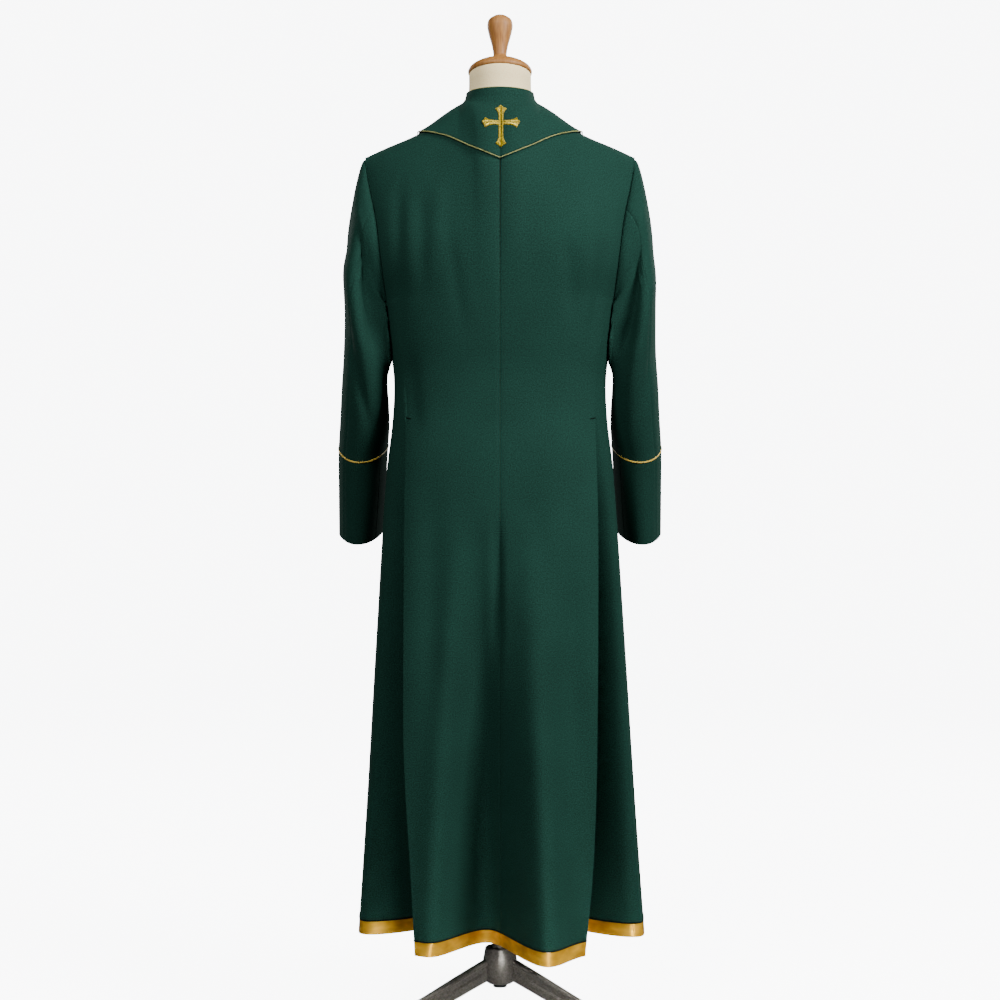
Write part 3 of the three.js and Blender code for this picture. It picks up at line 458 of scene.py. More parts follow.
# %% Lower back
def plain_back(x, z):
    """Depth of the oval section at a distance across."""
    square = read(BODY, 4, z)
    share = np.minimum(np.abs(x / read(BODY, 1, z)), 1) ** square
    return -read(BODY, 2, z) * (1 - share) ** (1 / square)


TROUGH_DRIFT = 24


def back_depth(x, z):
    """The plain section, with bell-shaped folds that grow towards the hem."""
    share = fold_share(z)
    spread = 0.5 + 0.5 * np.sqrt(share)
    out = -plain_back(x, z)
    for at, before, after, height in BACK_FOLDS:
        away = x - at * spread + TROUGH_DRIFT * (1 - share) * (height < 0)
        out = out + share * height * bell(away / (np.where(away < 0, before, after) * spread))
    return -out


def fold_edge(side, z):
    x = read(BACK_EDGE, 1 if side < 0 else 2, z)
    return xyz(x, back_depth(side * x, z), z)


def pleat_seam(side, z):
    edge = fold_edge(side, z)
    below = np.asarray(z) < PLEAT_TOP
    return edge + xyz(-read(PLEAT, 2, z) * below, read(PLEAT, 1, z) * below, 0)


WAIST_AND_HEM = np.array([PLEAT_TOP, HEM])
print("depth behind at waist and hem", back_depth(0 * WAIST_AND_HEM, WAIST_AND_HEM).round(1))

# %% [markdown]
# ## The back above the chest
# Above the chest the panel is a patch between four edges: the centre seam, the armhole, the
# neckline with the shoulder, and the chest line. These are the seams that a cutter draws, and a
# blend of them needs no inner points.


# %% Upper edges
def patch(bottom, top, inner, outer, u, v):
    """Between four edges: both pairs of opposite edges blended, less the blend of the corners."""
    s, t = u[..., None], v[..., None]
    none, full = np.zeros_like(u), np.ones_like(u)
    total = bottom(u) * (1 - t) + top(u, v) * t + inner(v) * (1 - s) + outer(v) * s
    total -= bottom(none) * (1 - s) * (1 - t) + bottom(full) * s * (1 - t)
    return total - top(none, v) * (1 - s) * t - top(full, v) * s * t


SHOULDER = [(61, 1557), (85, 1543), (116, 1523.5), (146, 1508), (192, 1489), (229, 1472)]


def top_edge(u, middle):
    """A quarter of the neckline up to a third of the width, then the shoulder seam."""
    turn = np.minimum(u / NECK_SHARE, 1) * np.pi / 2
    y = NECK_SIDE[1] + (middle[0] - NECK_SIDE[1]) * np.cos(turn)
    z = middle[1] + (NECK_SIDE[2] - middle[1]) * np.sin(turn) ** 2
    neck = xyz(NECK_SIDE[0] * np.sin(turn), y, z)
    share = np.maximum((u - NECK_SHARE) / (1 - NECK_SHARE), 0)
    x = NECK_SIDE[0] + (SHOULDER_TIP[0] - NECK_SIDE[0]) * share
    slope = xyz(x, NECK_SIDE[1] + (SHOULDER_TIP[1] - NECK_SIDE[1]) * share, read(SHOULDER, 1, x))
    return np.where((u <= NECK_SHARE)[..., None], neck, slope)


TOP_SHARES = np.linspace(0, 1, 401)


def softened(middle):
    """The top edge averaged over a stretch of its own length, which rounds the neck's corner."""
    reach = 0.2 * np.sin(np.pi * TOP_SHARES) ** 0.8
    steps = np.linspace(-1, 1, 9)
    return sum(top_edge(np.clip(TOP_SHARES + reach * step, 0, 1), middle) for step in steps) / 9


SOFT_TOPS = {middle: softened(middle) for middle in (NAPE, THROAT)}


def eased_top(u, v, middle):
    """The true top edge at the top, and the softened one below it, so that no ridge runs down."""
    soft = xyz(*(np.interp(u, TOP_SHARES, SOFT_TOPS[middle][:, i]) for i in range(3)))
    return soft + (top_edge(u, middle) - soft) * (v**10)[..., None]


# Share of the height, then x, y and z of the armhole behind and before
ARMHOLE_BACK = [
    (0, 191, -42, 1228),
    (0.2, 197, -57, 1277),
    (0.36, 201.5, -59, 1316),
    (0.56, 208, -48, 1364),
    (0.79, 220, -28, 1420),
    (0.92, 226.5, -16, 1455),
    (1, 229, -3, 1472),
]
ARMHOLE_FRONT = [
    (0, 196, 5, 1222),
    (0.12, 191, 38, 1240),
    (0.25, 191, 57, 1276),
    (0.45, 196, 60, 1331),
    (0.7, 208, 42, 1396),
    (0.84, 218, 26, 1434),
    (0.94, 226, 11, 1459),
    (1, 229, -3, 1472),
]
CENTRE_BACK = [(1228, -118.9), (1300, -122), (1380, -119), (1440, -108), (1490, -91), (1543, -68)]
CENTRE_FRONT = [(1228, 116.3), (1300, 118), (1380, 111), (1450, 93), (1534, 62)]


def armhole(table, corner, v):
    """The armhole's curve, moved at its foot so that it starts at the panel's corner."""
    stray = corner - np.array(table[0][1:], float)
    place = xyz(*(read(table, column, v) for column in (1, 2, 3)))
    return place + stray * ((1 - v) ** 4)[..., None]


print("neck and shoulder points", top_edge(np.array([NECK_SHARE, 1]), NAPE).round(1).tolist())

# %% [markdown]
# ## Filling the upper back out
# A patch between four edges is too flat where the body is round. So it is filled out below the
# shoulder seam and over the shoulder blade, as a presser would shape it, and it is eased where it
# meets the rows below the chest.


# %% Upper back
def rounded(place, u, v, way):
    """Fills a panel out below its upper edge, so that the cloth goes round over the shoulder."""
    share = 17.6 * v**6 * (1 - v) * np.maximum(0, np.sin(np.pi * u)) ** 0.6
    return place + xyz(0, way * 14 * share, 12 * share)


def chest_ease(u, v, rise):
    """Takes out the bend at the chest line: u ^ rise times v (1 - v) ^ 8, none at the armhole."""
    return u**rise * (1 - u**12) * v * (1 - v) ** 8


BLADE_FULLNESS, BREAST_FULLNESS = 13, 9
BACK_EASE, FRONT_EASE = 44, 580


def upper_back(u, v):
    u, v = (np.array(part, float) for part in np.broadcast_arrays(u, v))
    edge = read(BACK_EDGE, 2, CHEST)

    def bottom(s):
        return xyz(s * edge, back_depth(s * edge, CHEST), CHEST)

    def inner(t):
        z = CHEST + (NAPE[1] - CHEST) * t
        stray = back_depth(0, CHEST) - CENTRE_BACK[0][1]
        return xyz(0, read(CENTRE_BACK, 1, z) + stray * (1 - t), z)

    def outer(t):
        return armhole(ARMHOLE_BACK, bottom(np.ones_like(t)), t)

    place = patch(bottom, lambda s, t: eased_top(s, t, NAPE), inner, outer, u, v)
    place[..., 1] -= BLADE_FULLNESS * np.sin(np.pi * u) * np.sin(np.pi * v)
    place[..., 1] += BACK_EASE * chest_ease(u, v, 2)
    return rounded(place, u, v, -1)


MIDDLE = np.array([0.5])
print("middle of the upper back", upper_back(MIDDLE, MIDDLE).round(1).tolist())

# %% [markdown]
# ## Rows and columns of a panel
# The rows run from the neck to the hem and the columns from seam to seam. Columns are closer
# together at the seams, where a little of the edge is turned in, and wide apart elsewhere.


# %% Grids of the back
def tight_ends(count, end=0.7):
    """Shares from 0 to 1 that are close together at both ends, to turn a seam's edge in."""
    even = np.linspace(0, 1, count)[1:-1]
    close = np.array((end, 2.2 * end, 4 * end)) / 200
    middle = even * (1 - 16 * end / 200) + 8 * end / 200
    return np.concatenate([[0], close, middle, 1 - close[::-1], [1]])


def down(top, bottom, step):
    """Heights from top to bottom, a step apart or a little less."""
    return np.linspace(top, bottom, int(np.ceil((top - bottom) / step)) + 1)


def turn_in(edge):
    """Way from an edge to the middle of the body, as long as the cloth is thick."""
    return unit(spine(edge) + edge * (0.4, 0, 0) - edge) * CLOTH


HIGH_ROWS = np.linspace(1, 0, 80)[:-1, None]
UNDERLAY = np.array((0.02, 0.06, 0.12, 0.2, 0.3, 0.42, 0.56, 0.7, 0.84, 0.94, 1))[:, None]


def back_grid(side, heights, upper=True):
    """Across the face to the fold, then in along the underlay, row by row from the neck down."""
    face = 0.001 + 0.999 * tight_ends(44)
    z = heights[:, None]
    edge, seam = fold_edge(side, heights)[:, None], pleat_seam(side, heights)[:, None]
    x = edge[..., 0] * face
    inner = edge + (seam - edge) * UNDERLAY
    faced = xyz(x, back_depth(side * x, z), z)
    low = np.concatenate([faced, inner + turn_in(edge) * UNDERLAY], axis=1)
    if not upper:
        return low
    high = upper_back(face, HIGH_ROWS)
    high = np.concatenate([high, high[:, -1:] + turn_in(high[:, -1:]) * UNDERLAY], axis=1)
    return np.concatenate([high, low])


def mirrored(points, side):
    return points * (side, 1, 1)


def pinched(points, ends=(1, 1), depth=0.9, reach=2.2):
    """Depth to set a panel in by beside its first and last column, where it is sewn."""
    along = np.linalg.norm(np.diff(points, axis=1), axis=2)
    far = np.concatenate([np.zeros((len(points), 1)), np.cumsum(along, axis=1)], axis=1)
    near_end = far[:, -1:] - far
    return -depth * (ends[0] * bell(far / reach) + ends[1] * bell(near_end / reach))


print("rows above the chest", len(HIGH_ROWS), "columns of the underlay", len(UNDERLAY))

# %% [markdown]
# ## Creases, and the back panels themselves
# Each crease was drawn from what the photograph shows: a straight line with a soft bell
# across it that fades at the ends. The band at the hem is a strip of the same grid in satin.

# %% Back panels
# Start across and up, end across and up, width, height (below 0 is a trough), as seen from behind
BACK_CREASES = [
    (-168, 1410, -170, 1190, 11, -4.2),
    (-131, 1395, -128, 1240, 13, -3.1),
    (-100, 1420, -104, 1300, 14, 2.8),
    (-84, 1330, -62, 1180, 12, -2.2),
    (112, 1320, 118, 1200, 12, -2.8),
    (150, 1400, 142, 1230, 12, 2.8),
    (178, 1330, 150, 1140, 11, -4.2),
    (-150, 1130, -138, 1010, 12, -2.8),
    (-4, 860, -6, 640, 9, -7.0),
    (-110, 900, -112, 560, 22, -4.2),
    (118, 760, 120, 460, 20, -4.2),
    (90, 900, 84, 640, 26, 4.2),
]


def creases(points, table):
    """Bells across each line that fade at its ends: height * bell(distance / width)."""
    total = 0 * points[..., 0]
    for x0, z0, x1, z1, width, height in table:
        way = np.array((x1 - x0, z1 - z0), float)
        off = points[..., (0, 2)] - (x0, z0)
        along = off @ way / (way @ way)
        away = (off[..., 0] * way[1] - off[..., 1] * way[0]) / np.hypot(*way)
        total += height * bell(away / width) * bell(np.maximum(0, np.abs(along - 0.5) - 0.2) * 3.4)
    return total


# Rows of the panels, of the satin band and of the near-black strip over their seam, from the top
# down
LOW = down(CHEST, HEM + BAND, 4.5)
BANDS = down(HEM + BAND - 0.3, HEM, 2.2)
EDGING = down(HEM + BAND + 2.6, HEM + BAND - 0.2, 0.5)
SIDES = ((-1, "left"), (1, "right"))

for side, word in SIDES:
    grid = mirrored(back_grid(side, LOW), side)
    shape = pinched(grid, (1, 0), 0.7) + creases(grid, BACK_CREASES) * (grid[..., 1] < -60)
    name, held_by = f"back_panel_{word}", ["form_cover"]
    cloth(name, grid, wool, f"back_{word}", "wool_twill", shape=shape)
    grid = mirrored(back_grid(side, BANDS, upper=False), side)
    stands_for, held_by, shape = f"hem_band_back_{word}", [name], pinched(grid, (1, 0))
    cloth(f"back_band_{word}", grid, satin, stands_for, "gold_satin", shape=shape)

# %% [markdown]
# ## Bar tacks
# Where each pleat opens, a short bar of close stitches holds the seam. It is a small padded oval
# of thread, worked across the fold and left dark green like the cloth.


# %% Bar tacks
TACK_HEIGHT, TACK_LENGTH, TACK_WIDTH = 1027, 9, 2.2


def bar_tack(side, word):
    """A flat pillow, 9 mm by 2 mm: a grid over its length and width, raised in the middle."""
    along, across = np.linspace(-1, 1, 17)[:, None], np.linspace(-1, 1, 9)
    edge = read(BACK_EDGE, 1 if side < 0 else 2, TACK_HEIGHT - 1)
    x = edge - 4.2 + TACK_LENGTH / 2 * along + 0 * across
    z = TACK_HEIGHT + (TACK_WIDTH / 2 * across + 0.9 * along) * np.ones_like(along)
    lift = np.sqrt(np.maximum(0, 1 - along**2) * np.maximum(0, 1 - across**2))
    depth = back_depth(side * x, z)
    front, rear = xyz(x, depth - 0.5 - 0.9 * lift, z), xyz(x, depth - 0.1, z)
    points = np.concatenate([front.reshape(-1, 3), rear.reshape(-1, 3)]) * (side, 1, 1)
    uv = np.tile(np.stack([x, z], axis=-1).reshape(-1, 2), (2, 1))
    piece(f"bar_tack_{word}", points, shell_faces(*x.shape), uv, near_black_twill, None, "wool_twill")


for side, word in SIDES:
    bar_tack(side, word)

# %% [markdown]
# ## The side-back and front panels
# The side-back panel starts at the seam deep in the pleat and comes forward round the oval. The
# two fronts lap at the centre, and the right one steps in a little, so that it lies under.


# %% Side and front surfaces
def chest_drop(u, z):
    """The chest line falls a little towards the arm; the fall fades out in the rows below."""
    return z - (CHEST - UNDERARM) * u * np.clip((z - 1180) / 48, 0, 1)


def spread_right(place, side, u, row):
    """On the right the hem swings out a fiftieth more at the side seam."""
    return place * xyz(1 + 0.022 * (side > 0) * u * fold_share(row), 1, 1)


def side_point(side, u, row):
    z = chest_drop(u, row)
    seam, edge = pleat_seam(side, row), fold_edge(side, row)
    start = np.degrees(np.arctan2(edge[..., 0], -plain_back(edge[..., 0], row)))
    place = body_point(z, start + (read(SIDE_SEAM, 1, row) - start) * u)
    pull = (1 - u) ** (1.7 if side < 0 else 2.2)
    stray = seam - body_point(row, start)
    return spread_right(place + stray * (1, 1, 0) * pull[..., None], side, u, row)


def chest_front(u):
    z = CHEST + (UNDERARM - CHEST) * u * u
    return body_point(z, 180 - (180 - read(SIDE_SEAM, 1, CHEST)) * u)


def upper_front(u, v):
    u, v = (np.array(part, float) for part in np.broadcast_arrays(u, v))
    foot, corner = chest_front(np.zeros(1))[0], chest_front(np.ones(1))[0]

    def inner(t):
        z = CHEST + (THROAT[1] - CHEST) * t
        return xyz(0, read(CENTRE_FRONT, 1, z) + (foot[1] - CENTRE_FRONT[0][1]) * (1 - t), z)

    def outer(t):
        return armhole(ARMHOLE_FRONT, corner, t)

    place = patch(chest_front, lambda s, t: eased_top(s, t, THROAT), inner, outer, u, v)
    place[..., 1] += BREAST_FULLNESS * np.sin(np.pi * u) * np.sin(np.pi * v)
    place[..., 1] -= FRONT_EASE * chest_ease(u, v, 2.6)
    return rounded(place, u, v, 1)


def front_point(side, u, row):
    """The oval, grown outwards by the folds of the skirt, which die out at the side seam."""
    angle = 180 - (180 - read(SIDE_SEAM, 1, row)) * u
    place = body_point(chest_drop(u * u, row), angle)
    column = 2 if side < 0 else 3
    out = sum(fold[column] * bell((angle - fold[0]) / fold[1]) for fold in FRONT_FOLDS)
    flat = np.hypot(place[..., 0], place[..., 1])
    grow = 1 + fold_share(row) * out * (1 - u**6) / flat
    return spread_right(place * xyz(grow, grow, 1), side, u, row)


LAP_END, LAP_RAMP, LAP_STEP = 46, 14, 3.5


def lapped(side, place):
    """Steps the right front in beside the centre, on a smooth slope, so that it lies under."""
    share = np.clip((LAP_END - place[..., 0]) / LAP_RAMP, 0, 1) * (side > 0)
    place[..., 1] -= LAP_STEP * share * share * (3 - 2 * share)
    return place


def to_its_side(points, place):
    """Points of the right half, mirrored where their place, share or turn is below 0."""
    return points * xyz(np.where(place < 0, -1, 1), 1, 1)


def front_grid(side, heights, upper=True):
    shares = np.concatenate([[-0.1, -0.097, -0.09, -0.07, -0.045, -0.02], tight_ends(46)])
    low = to_its_side(front_point(side, np.abs(shares), heights[:, None]), shares)
    if upper:
        high = to_its_side(upper_front(np.abs(shares), HIGH_ROWS), shares)
        low = np.concatenate([high, low])
    return lapped(side, low)


print("side seam at the hem", side_point(1, np.ones(1), np.full(1, HEM)).round(1).tolist())

# %% [markdown]
# ## Sewing the sides, the fronts and the near-black strip
# A low, round, near-black strip covers the seam between the wool and the satin band. Each
# panel and its band are cut from one surface, so that the band carries the panel's folds on.


# %% Side and front panels
def sewn_strip(name, grid, of_panel, stands_for):
    """A side or front piece, pinched at its side seam: wool, or satin for the hem band."""
    material, slot = (wool, "wool_twill") if of_panel else (satin, "gold_satin")
    shape = pinched(grid, (0, 1))
    cloth(name, grid, material, stands_for, slot, shape=shape)


BULGE = 0.9 * np.sin(np.linspace(0.3, np.pi - 0.3, len(EDGING)))[:, None, None]

for side, word in SIDES:
    for panel, grid in (
        ("back", back_grid(side, EDGING, upper=False)),
        ("side", side_point(side, tight_ends(40), EDGING[:, None])),
        ("front", front_grid(side, EDGING, upper=False)),
    ):
        grid = mirrored(grid, side)
        grid = grid + grid_normals(grid, spine) * BULGE
        # A near-black strip, bulged out a little, lies over the seam along the top of the band.
        cloth(f"{panel}_edging_{word}", grid, near_black_twill, None, "wool_twill", thick=0.8)
    back, front, own = f"back_panel_{word}", f"front_panel_{word}", f"side_panel_{word}"
    for part, heights, prefix, side_held, front_held in (
        ("panel", LOW, "", [front, back], ["form_cover"]),
        ("band", BANDS, "hem_band_", [own], [front]),
    ):
        of_panel = part == "panel"
        grid = mirrored(side_point(side, tight_ends(40), heights[:, None]), side)
        sewn_strip(f"side_{part}_{word}", grid, of_panel, f"{prefix}side_{word}")
        grid = mirrored(front_grid(side, heights, upper=of_panel), side)
        sewn_strip(f"front_{part}_{word}", grid, of_panel, f"{prefix}front_{word}")

# %% [markdown]
# ## The sleeve's pattern
# A sleeve is cut in two, upper and under. The pattern is a table of rings from the armhole to the
# cuff, which bend forward along the arm, and the creases that hang from the shoulder behind.

# %% Sleeve tables
# Run, outermost point (x, y, z), innermost point (x, y, z), half depth, tilt in degrees
SLEEVE = [
    (0, 229, -3, 1472, 196, 5, 1222, 60, 0),
    (0.05, 237, -3, 1449, 199.5, 5, 1215, 65, 0),
    (0.13, 248, -2, 1405, 202, 5, 1206, 71, 0),
    (0.22, 258, -1, 1350, 202, 5, 1192, 75, 0),
    (0.32, 262, 1, 1293, 200, 5, 1172, 77, 1),
    (0.42, 264, 3, 1237, 198, 6, 1148, 76, 3),
    (0.52, 265, 6, 1184, 195, 8, 1120, 73, 6),
    (0.62, 267, 13, 1132, 192, 14, 1086, 69, 11),
    (0.72, 271, 24, 1084, 190, 25, 1052, 65, 17),
    (0.83, 274.5, 39, 1034, 190, 40, 1017, 62, 22),
    (1, 279, 58, 981, 193, 58, 985, 60, 28),
    (1.5, 281, 84, 907, 199, 84, 909, 59, 24),
    (2, 282.5, 111, 831, 206, 111, 834, 58.5, 19),
]
# Folds of the sleeves behind, in the same way as on the back, seen on the wearer's own side
SLEEVE_CREASES = {
    -1: [
        (244, 1350, 192, 1130, 17, -24.0),
        (268, 1320, 222, 1110, 11, 5.0),
        (232, 1400, 208, 1290, 9, -3.0),
        (262, 1200, 226, 1030, 9, -3.0),
        (244, 1120, 214, 1000, 8, -2.5),
    ],
    1: [
        (238, 1320, 194, 1120, 17, -24.0),
        (260, 1290, 222, 1100, 11, 5.0),
        (236, 1410, 214, 1320, 9, -2.5),
        (264, 1160, 232, 1020, 9, -3.0),
    ],
}
SLEEVE_SLOT, CUFF_CLOTH = 1.65, 2
SEAM_BEHIND, SEAM_BEFORE = 0.38, 2.62
# The under sleeve bellies towards the body: depth, angle round the ring, its width, run, length
BELLY, BELLY_ANGLE, BELLY_WIDTH, BELLY_RUN, BELLY_LENGTH = 36, np.radians(160), 0.55, 0.32, 0.22
BODY_CLEARANCE = 1.6
print("rings of the sleeve", len(SLEEVE))

# %% [markdown]
# ## The surface of a sleeve
# Each ring is an oval round the arm. At the top the rings blend into the armhole, which runs down
# the back panel, along the top of the side panel and up the front panel, so the seam fits. Where
# the sleeve would touch the skirt it is held just clear of it.


# %% Sleeve surface
def armhole_point(place):
    """Round the armhole: 0 to 1 down the back, 1 to 2 under the arm, 2 to 3 up the front."""
    place = np.mod(place, 3)
    down_back = upper_back(np.ones_like(place), 1 - np.clip(place, 0, 1))
    under = side_point(1, np.clip(place - 1, 0, 1), np.full_like(place, CHEST))
    up_front = upper_front(np.ones_like(place), np.clip(place - 2, 0, 1))
    part = place[..., None]
    return np.where(part < 1, down_back, np.where(part < 2, under, up_front))


def soft_power(value, power=0.92):
    return np.sign(value) * np.abs(value) ** power


def ring_point(turn, run):
    """An oval ring about the arm: half the width along it, and its depth along the tilted back."""
    outer = xyz(*(read(SLEEVE, i, run) for i in (1, 2, 3)))
    inner = xyz(*(read(SLEEVE, i, run) for i in (4, 5, 6)))
    tilt = np.radians(read(SLEEVE, 8, run))
    behind = xyz(0, -np.cos(tilt), -np.sin(tilt)) * read(SLEEVE, 7, run)[..., None]
    middle = (outer + inner) / 2 + (outer - inner) / 2 * soft_power(np.cos(turn))[..., None]
    lens = 0.92 + 0.4 * np.clip((run - 0.5) / 0.45, 0, 1) + 0.4 * np.clip(run - 1, 0, 1)
    return middle + behind * soft_power(np.sin(turn), lens)[..., None]


def body_side(place):
    """How far across the body's oval reaches at a place's depth and height."""
    y, z = place[..., 1], np.minimum(place[..., 2], CHEST)
    square = read(BODY, 4, z)
    share = np.minimum(np.abs(y) / np.where(y < 0, read(BODY, 2, z), read(BODY, 3, z)), 1)
    return read(BODY, 1, z) * (1 - share**square) ** (1 / square)


def sleeve_point(side, start, run):
    run = run + 0 * start[..., 0]
    first = np.arctan2(-start[..., 1] / 60, (start[..., 2] - 1347) / 125)
    turn = first - np.radians(25) * np.minimum(run, 1) * np.sin(first)
    stray = start - ring_point(first, 0 * run)
    place = ring_point(turn, run) + stray * (np.maximum(0, 1 - run / 0.3) ** 2)[..., None]
    near_body = bell((np.mod(turn, 2 * np.pi) - BELLY_ANGLE) / BELLY_WIDTH)
    place[..., 0] -= BELLY * near_body * bell(((run - BELLY_RUN) / BELLY_LENGTH) ** 2)
    clear = body_side(place) + BODY_CLEARANCE
    place[..., 0] += np.maximum(0, clear - place[..., 0]) * np.clip((run - 0.1) / 0.08, 0, 1)
    return place


def arm_middle(side):
    def middle(points):
        run = np.clip((SPINE_TOP - points[..., 2]) / 415, 0, 1.4)
        return xyz(side * 228, read(SLEEVE, 2, run), points[..., 2])

    return middle


ELBOW = np.full(2, 0.5)
print("elbow, outermost and innermost", ring_point(np.array([0, np.pi]), ELBOW).round(1).tolist())

# %% [markdown]
# ## Sewing the sleeves and cuffs
# Both halves share the rings, so their seams meet. A soft roll at the head is where the fullness
# was eased in. The deep cuff goes on in the same rings, with a slot for the gold cord between.

# %% Sleeves and cuffs
upper_columns = SEAM_BEFORE + (3 - SEAM_BEFORE + SEAM_BEHIND) * tight_ends(44)
under_columns = SEAM_BEHIND + (SEAM_BEFORE - SEAM_BEHIND) * tight_ends(84)
first_runs = [0, 0.004, 0.01, 0.02, 0.035]
arm_runs = np.concatenate([first_runs, np.linspace(0.05, 1 - SLEEVE_SLOT / 205, 84)])
cuff_runs = np.linspace(1 + SLEEVE_SLOT / 150, 2, 40)
cuff_columns = np.linspace(0, 3, 241) + 1.5
CUFF_SEAMS = (2.62, 3.38, 4.05)
roll = 2.6 * np.minimum(arm_runs / 0.014, 1) * bell(arm_runs / 0.14)
head = (roll - 1.2 * bell(arm_runs / 0.006))[:, None]
growing = np.clip(arm_runs[:, None] / 0.1, 0, 1)

for side, word in SIDES:
    inside = arm_middle(side)
    for part, columns in (("upper", upper_columns), ("under", under_columns)):
        name, held_by = f"sleeve_{part}_{word}", [f"back_panel_{word}", f"front_panel_{word}"]
        grid = sleeve_point(side, armhole_point(columns), arm_runs[:, None])
        behind = arm_middle(1)(grid)[..., 1] - grid[..., 1]
        folds = creases(grid, SLEEVE_CREASES[side]) * np.clip(behind / 14, 0, 1)
        shape, grid = pinched(grid) + folds * growing + head, mirrored(grid, side)
        cloth(
            f"{name}_cloth", grid, wool, name, "wool_twill", inside, shape=shape
        )
    grid = mirrored(sleeve_point(side, armhole_point(cuff_columns), cuff_runs[:, None]), side)
    seams = -0.9 * sum(bell((cuff_columns - place) / 0.012) for place in CUFF_SEAMS)
    seams = seams + 0 * grid[..., 0]
    held_by = [f"sleeve_{part}_{word}_cloth" for part in ("upper", "under")]
    cloth(
        f"cuff_{word}_cloth", grid, wool, f"cuff_{word}", "wool_twill",
        inside, CUFF_CLOTH, True, seams,
    )

# %% [markdown]
# ## Piping
# Gold cord is sewn into the seams at the cuff and along the edge of the collar. It is a round
# section carried along a path, with the strands drawn by the material.


# %% Cords
CUFF_CORD, CORD_SINK = 1.5, 0.4


def closed_grid(name, grid, material, stands_for, slot, sharp=35, uv=None):
    """A grid that closes by itself, because its edges meet or shrink to a point."""
    ids = np.arange(grid.shape[0] * grid.shape[1]).reshape(grid.shape[:2])
    flat = (grid_uv(grid) if uv is None else uv).reshape(-1, 2)
    return piece(
        name, grid.reshape(-1, 3), grid_faces(ids), flat, material, stands_for, slot, sharp
    )


def capped(grid, first, last):
    """A tube of rings, closed at each end by a ring that has shrunk to one point."""
    ends = [np.broadcast_to(point, grid[0].shape)[None] for point in (first, last)]
    return np.concatenate([ends[0], grid, ends[1]])


def carried(name, path, radius, material, stands_for, slot, closed=False, around=14):
    """A circle carried along a path: centre + radius (cos a * side + sin a * lift)."""
    if closed:
        way = unit(np.roll(path, -1, axis=0) - np.roll(path, 1, axis=0))
    else:
        way = unit(np.gradient(path, axis=0))
    lift = unit(np.cross(way, (0.001, 0.002, 1.0)))
    across = np.cross(way, lift)
    angle = np.linspace(0, 2 * np.pi, around + 1)
    ring = lift[:, None] * np.cos(angle)[:, None] + across[:, None] * np.sin(angle)[:, None]
    grid = path[:, None] + ring * radius
    far = np.concatenate([[0], np.cumsum(np.linalg.norm(np.diff(path, axis=0), axis=1))])
    if closed:
        grid = np.concatenate([grid, grid[:1]])
        far = np.append(far, far[-1] + np.linalg.norm(path[0] - path[-1]))
    else:
        grid = capped(grid, path[0], path[-1])
        far = np.concatenate([far[:1], far, far[-1:]])
    uv = np.stack(np.broadcast_arrays(far[:, None], angle * radius), axis=-1)
    print("  cord", round(float(far[-1])), "mm long")
    return closed_grid(name, grid, material, stands_for, slot, 60, uv)


for side, word in SIDES:
    turn = np.linspace(0, 2 * np.pi, 161)[:-1]
    one = np.ones_like(turn)
    ring = ring_point(turn, one)
    middle = (ring_point(0 * turn, one) + ring_point(np.pi * one, one)) / 2
    path = mirrored(ring - unit(ring - middle) * CORD_SINK, side)
    stands_for = f"cuff_piping_{word}"
    carried(f"cuff_cord_{word}", path, CUFF_CORD, gold_cord, stands_for, "gold_piping", True)

# %% [markdown]
# ## Where the collar lies
# A stand holds the collar up at the neck. The fall rolls over it and lies on the shoulders like a
# small cape that comes to a soft point behind. Its edge is a table of what the camera sees, and a
# few steps of Newton's method find the place on the back panel that shows there.

# %% Collar tables
# Turn, distance across, height of the edge behind
FALL_EDGE_BACK = [
    (0, 0, 1455),
    (0.15, 20, 1463),
    (0.35, 50, 1477.5),
    (0.6, 84, 1496),
    (0.8, 112, 1506),
    (0.92, 128, 1510),
    (1, 136, 1513),
]
# Turn, then the shares across and up the front panel where the edge lies
FALL_EDGE_FRONT = [
    (1, 0.631, 1),
    (1.1, 0.63, 0.965),
    (1.25, 0.59, 0.93),
    (1.55, 0.43, 0.86),
    (1.8, 0.28, 0.8),
    (2, 0.14, 0.77),
]
# Run, how far the fall has settled, share of the way out, lift above the garment
FALL_ROWS = [
    (0, 0, 0, 6),
    (0.1, 0.42, 0, 6),
    (0.2, 0.82, 0.03, 6.5),
    (0.32, 1, 0.13, 8.2),
    (0.5, 1, 0.36, 7.6),
    (0.68, 1, 0.59, 6.2),
    (0.85, 1, 0.81, 4.6),
    (1, 1, 1, 4.1),
]


def find(surface, start, x, z, least):
    """Newton's steps to the two parameters at which a surface shows at x across and z up."""
    first, second = start
    for _ in range(14):
        here = surface(first, second)
        by_first = (surface(first + 0.001, second) - here) * 1000
        by_second = (surface(first, second - 0.001) - here) * -1000
        whole = by_first[..., 0] * by_second[..., 2] - by_first[..., 2] * by_second[..., 0]
        off_x, off_z = x - here[..., 0], z - here[..., 2]
        first = first + (off_x * by_second[..., 2] - off_z * by_second[..., 0]) / whole
        second = second + (by_first[..., 0] * off_z - by_first[..., 2] * off_x) / whole
        first, second = np.maximum(first, least), np.minimum(second, 1)
    return first, second


def on_upper_back(u, v):
    return upper_back(np.maximum(u, 0), np.minimum(v, 1))


EDGE_TURNS = np.linspace(0, 1, 161)
edge_x, edge_z = read(FALL_EDGE_BACK, 1, EDGE_TURNS), read(FALL_EDGE_BACK, 2, EDGE_TURNS)
EDGE_PLACES = find(on_upper_back, (edge_x / 220, 0.85 + 0 * edge_x), edge_x, edge_z, 0)
stray = np.abs(on_upper_back(*EDGE_PLACES)[..., 0] - edge_x).max()
print("edge of the fall found to", round(float(stray), 3), "mm")

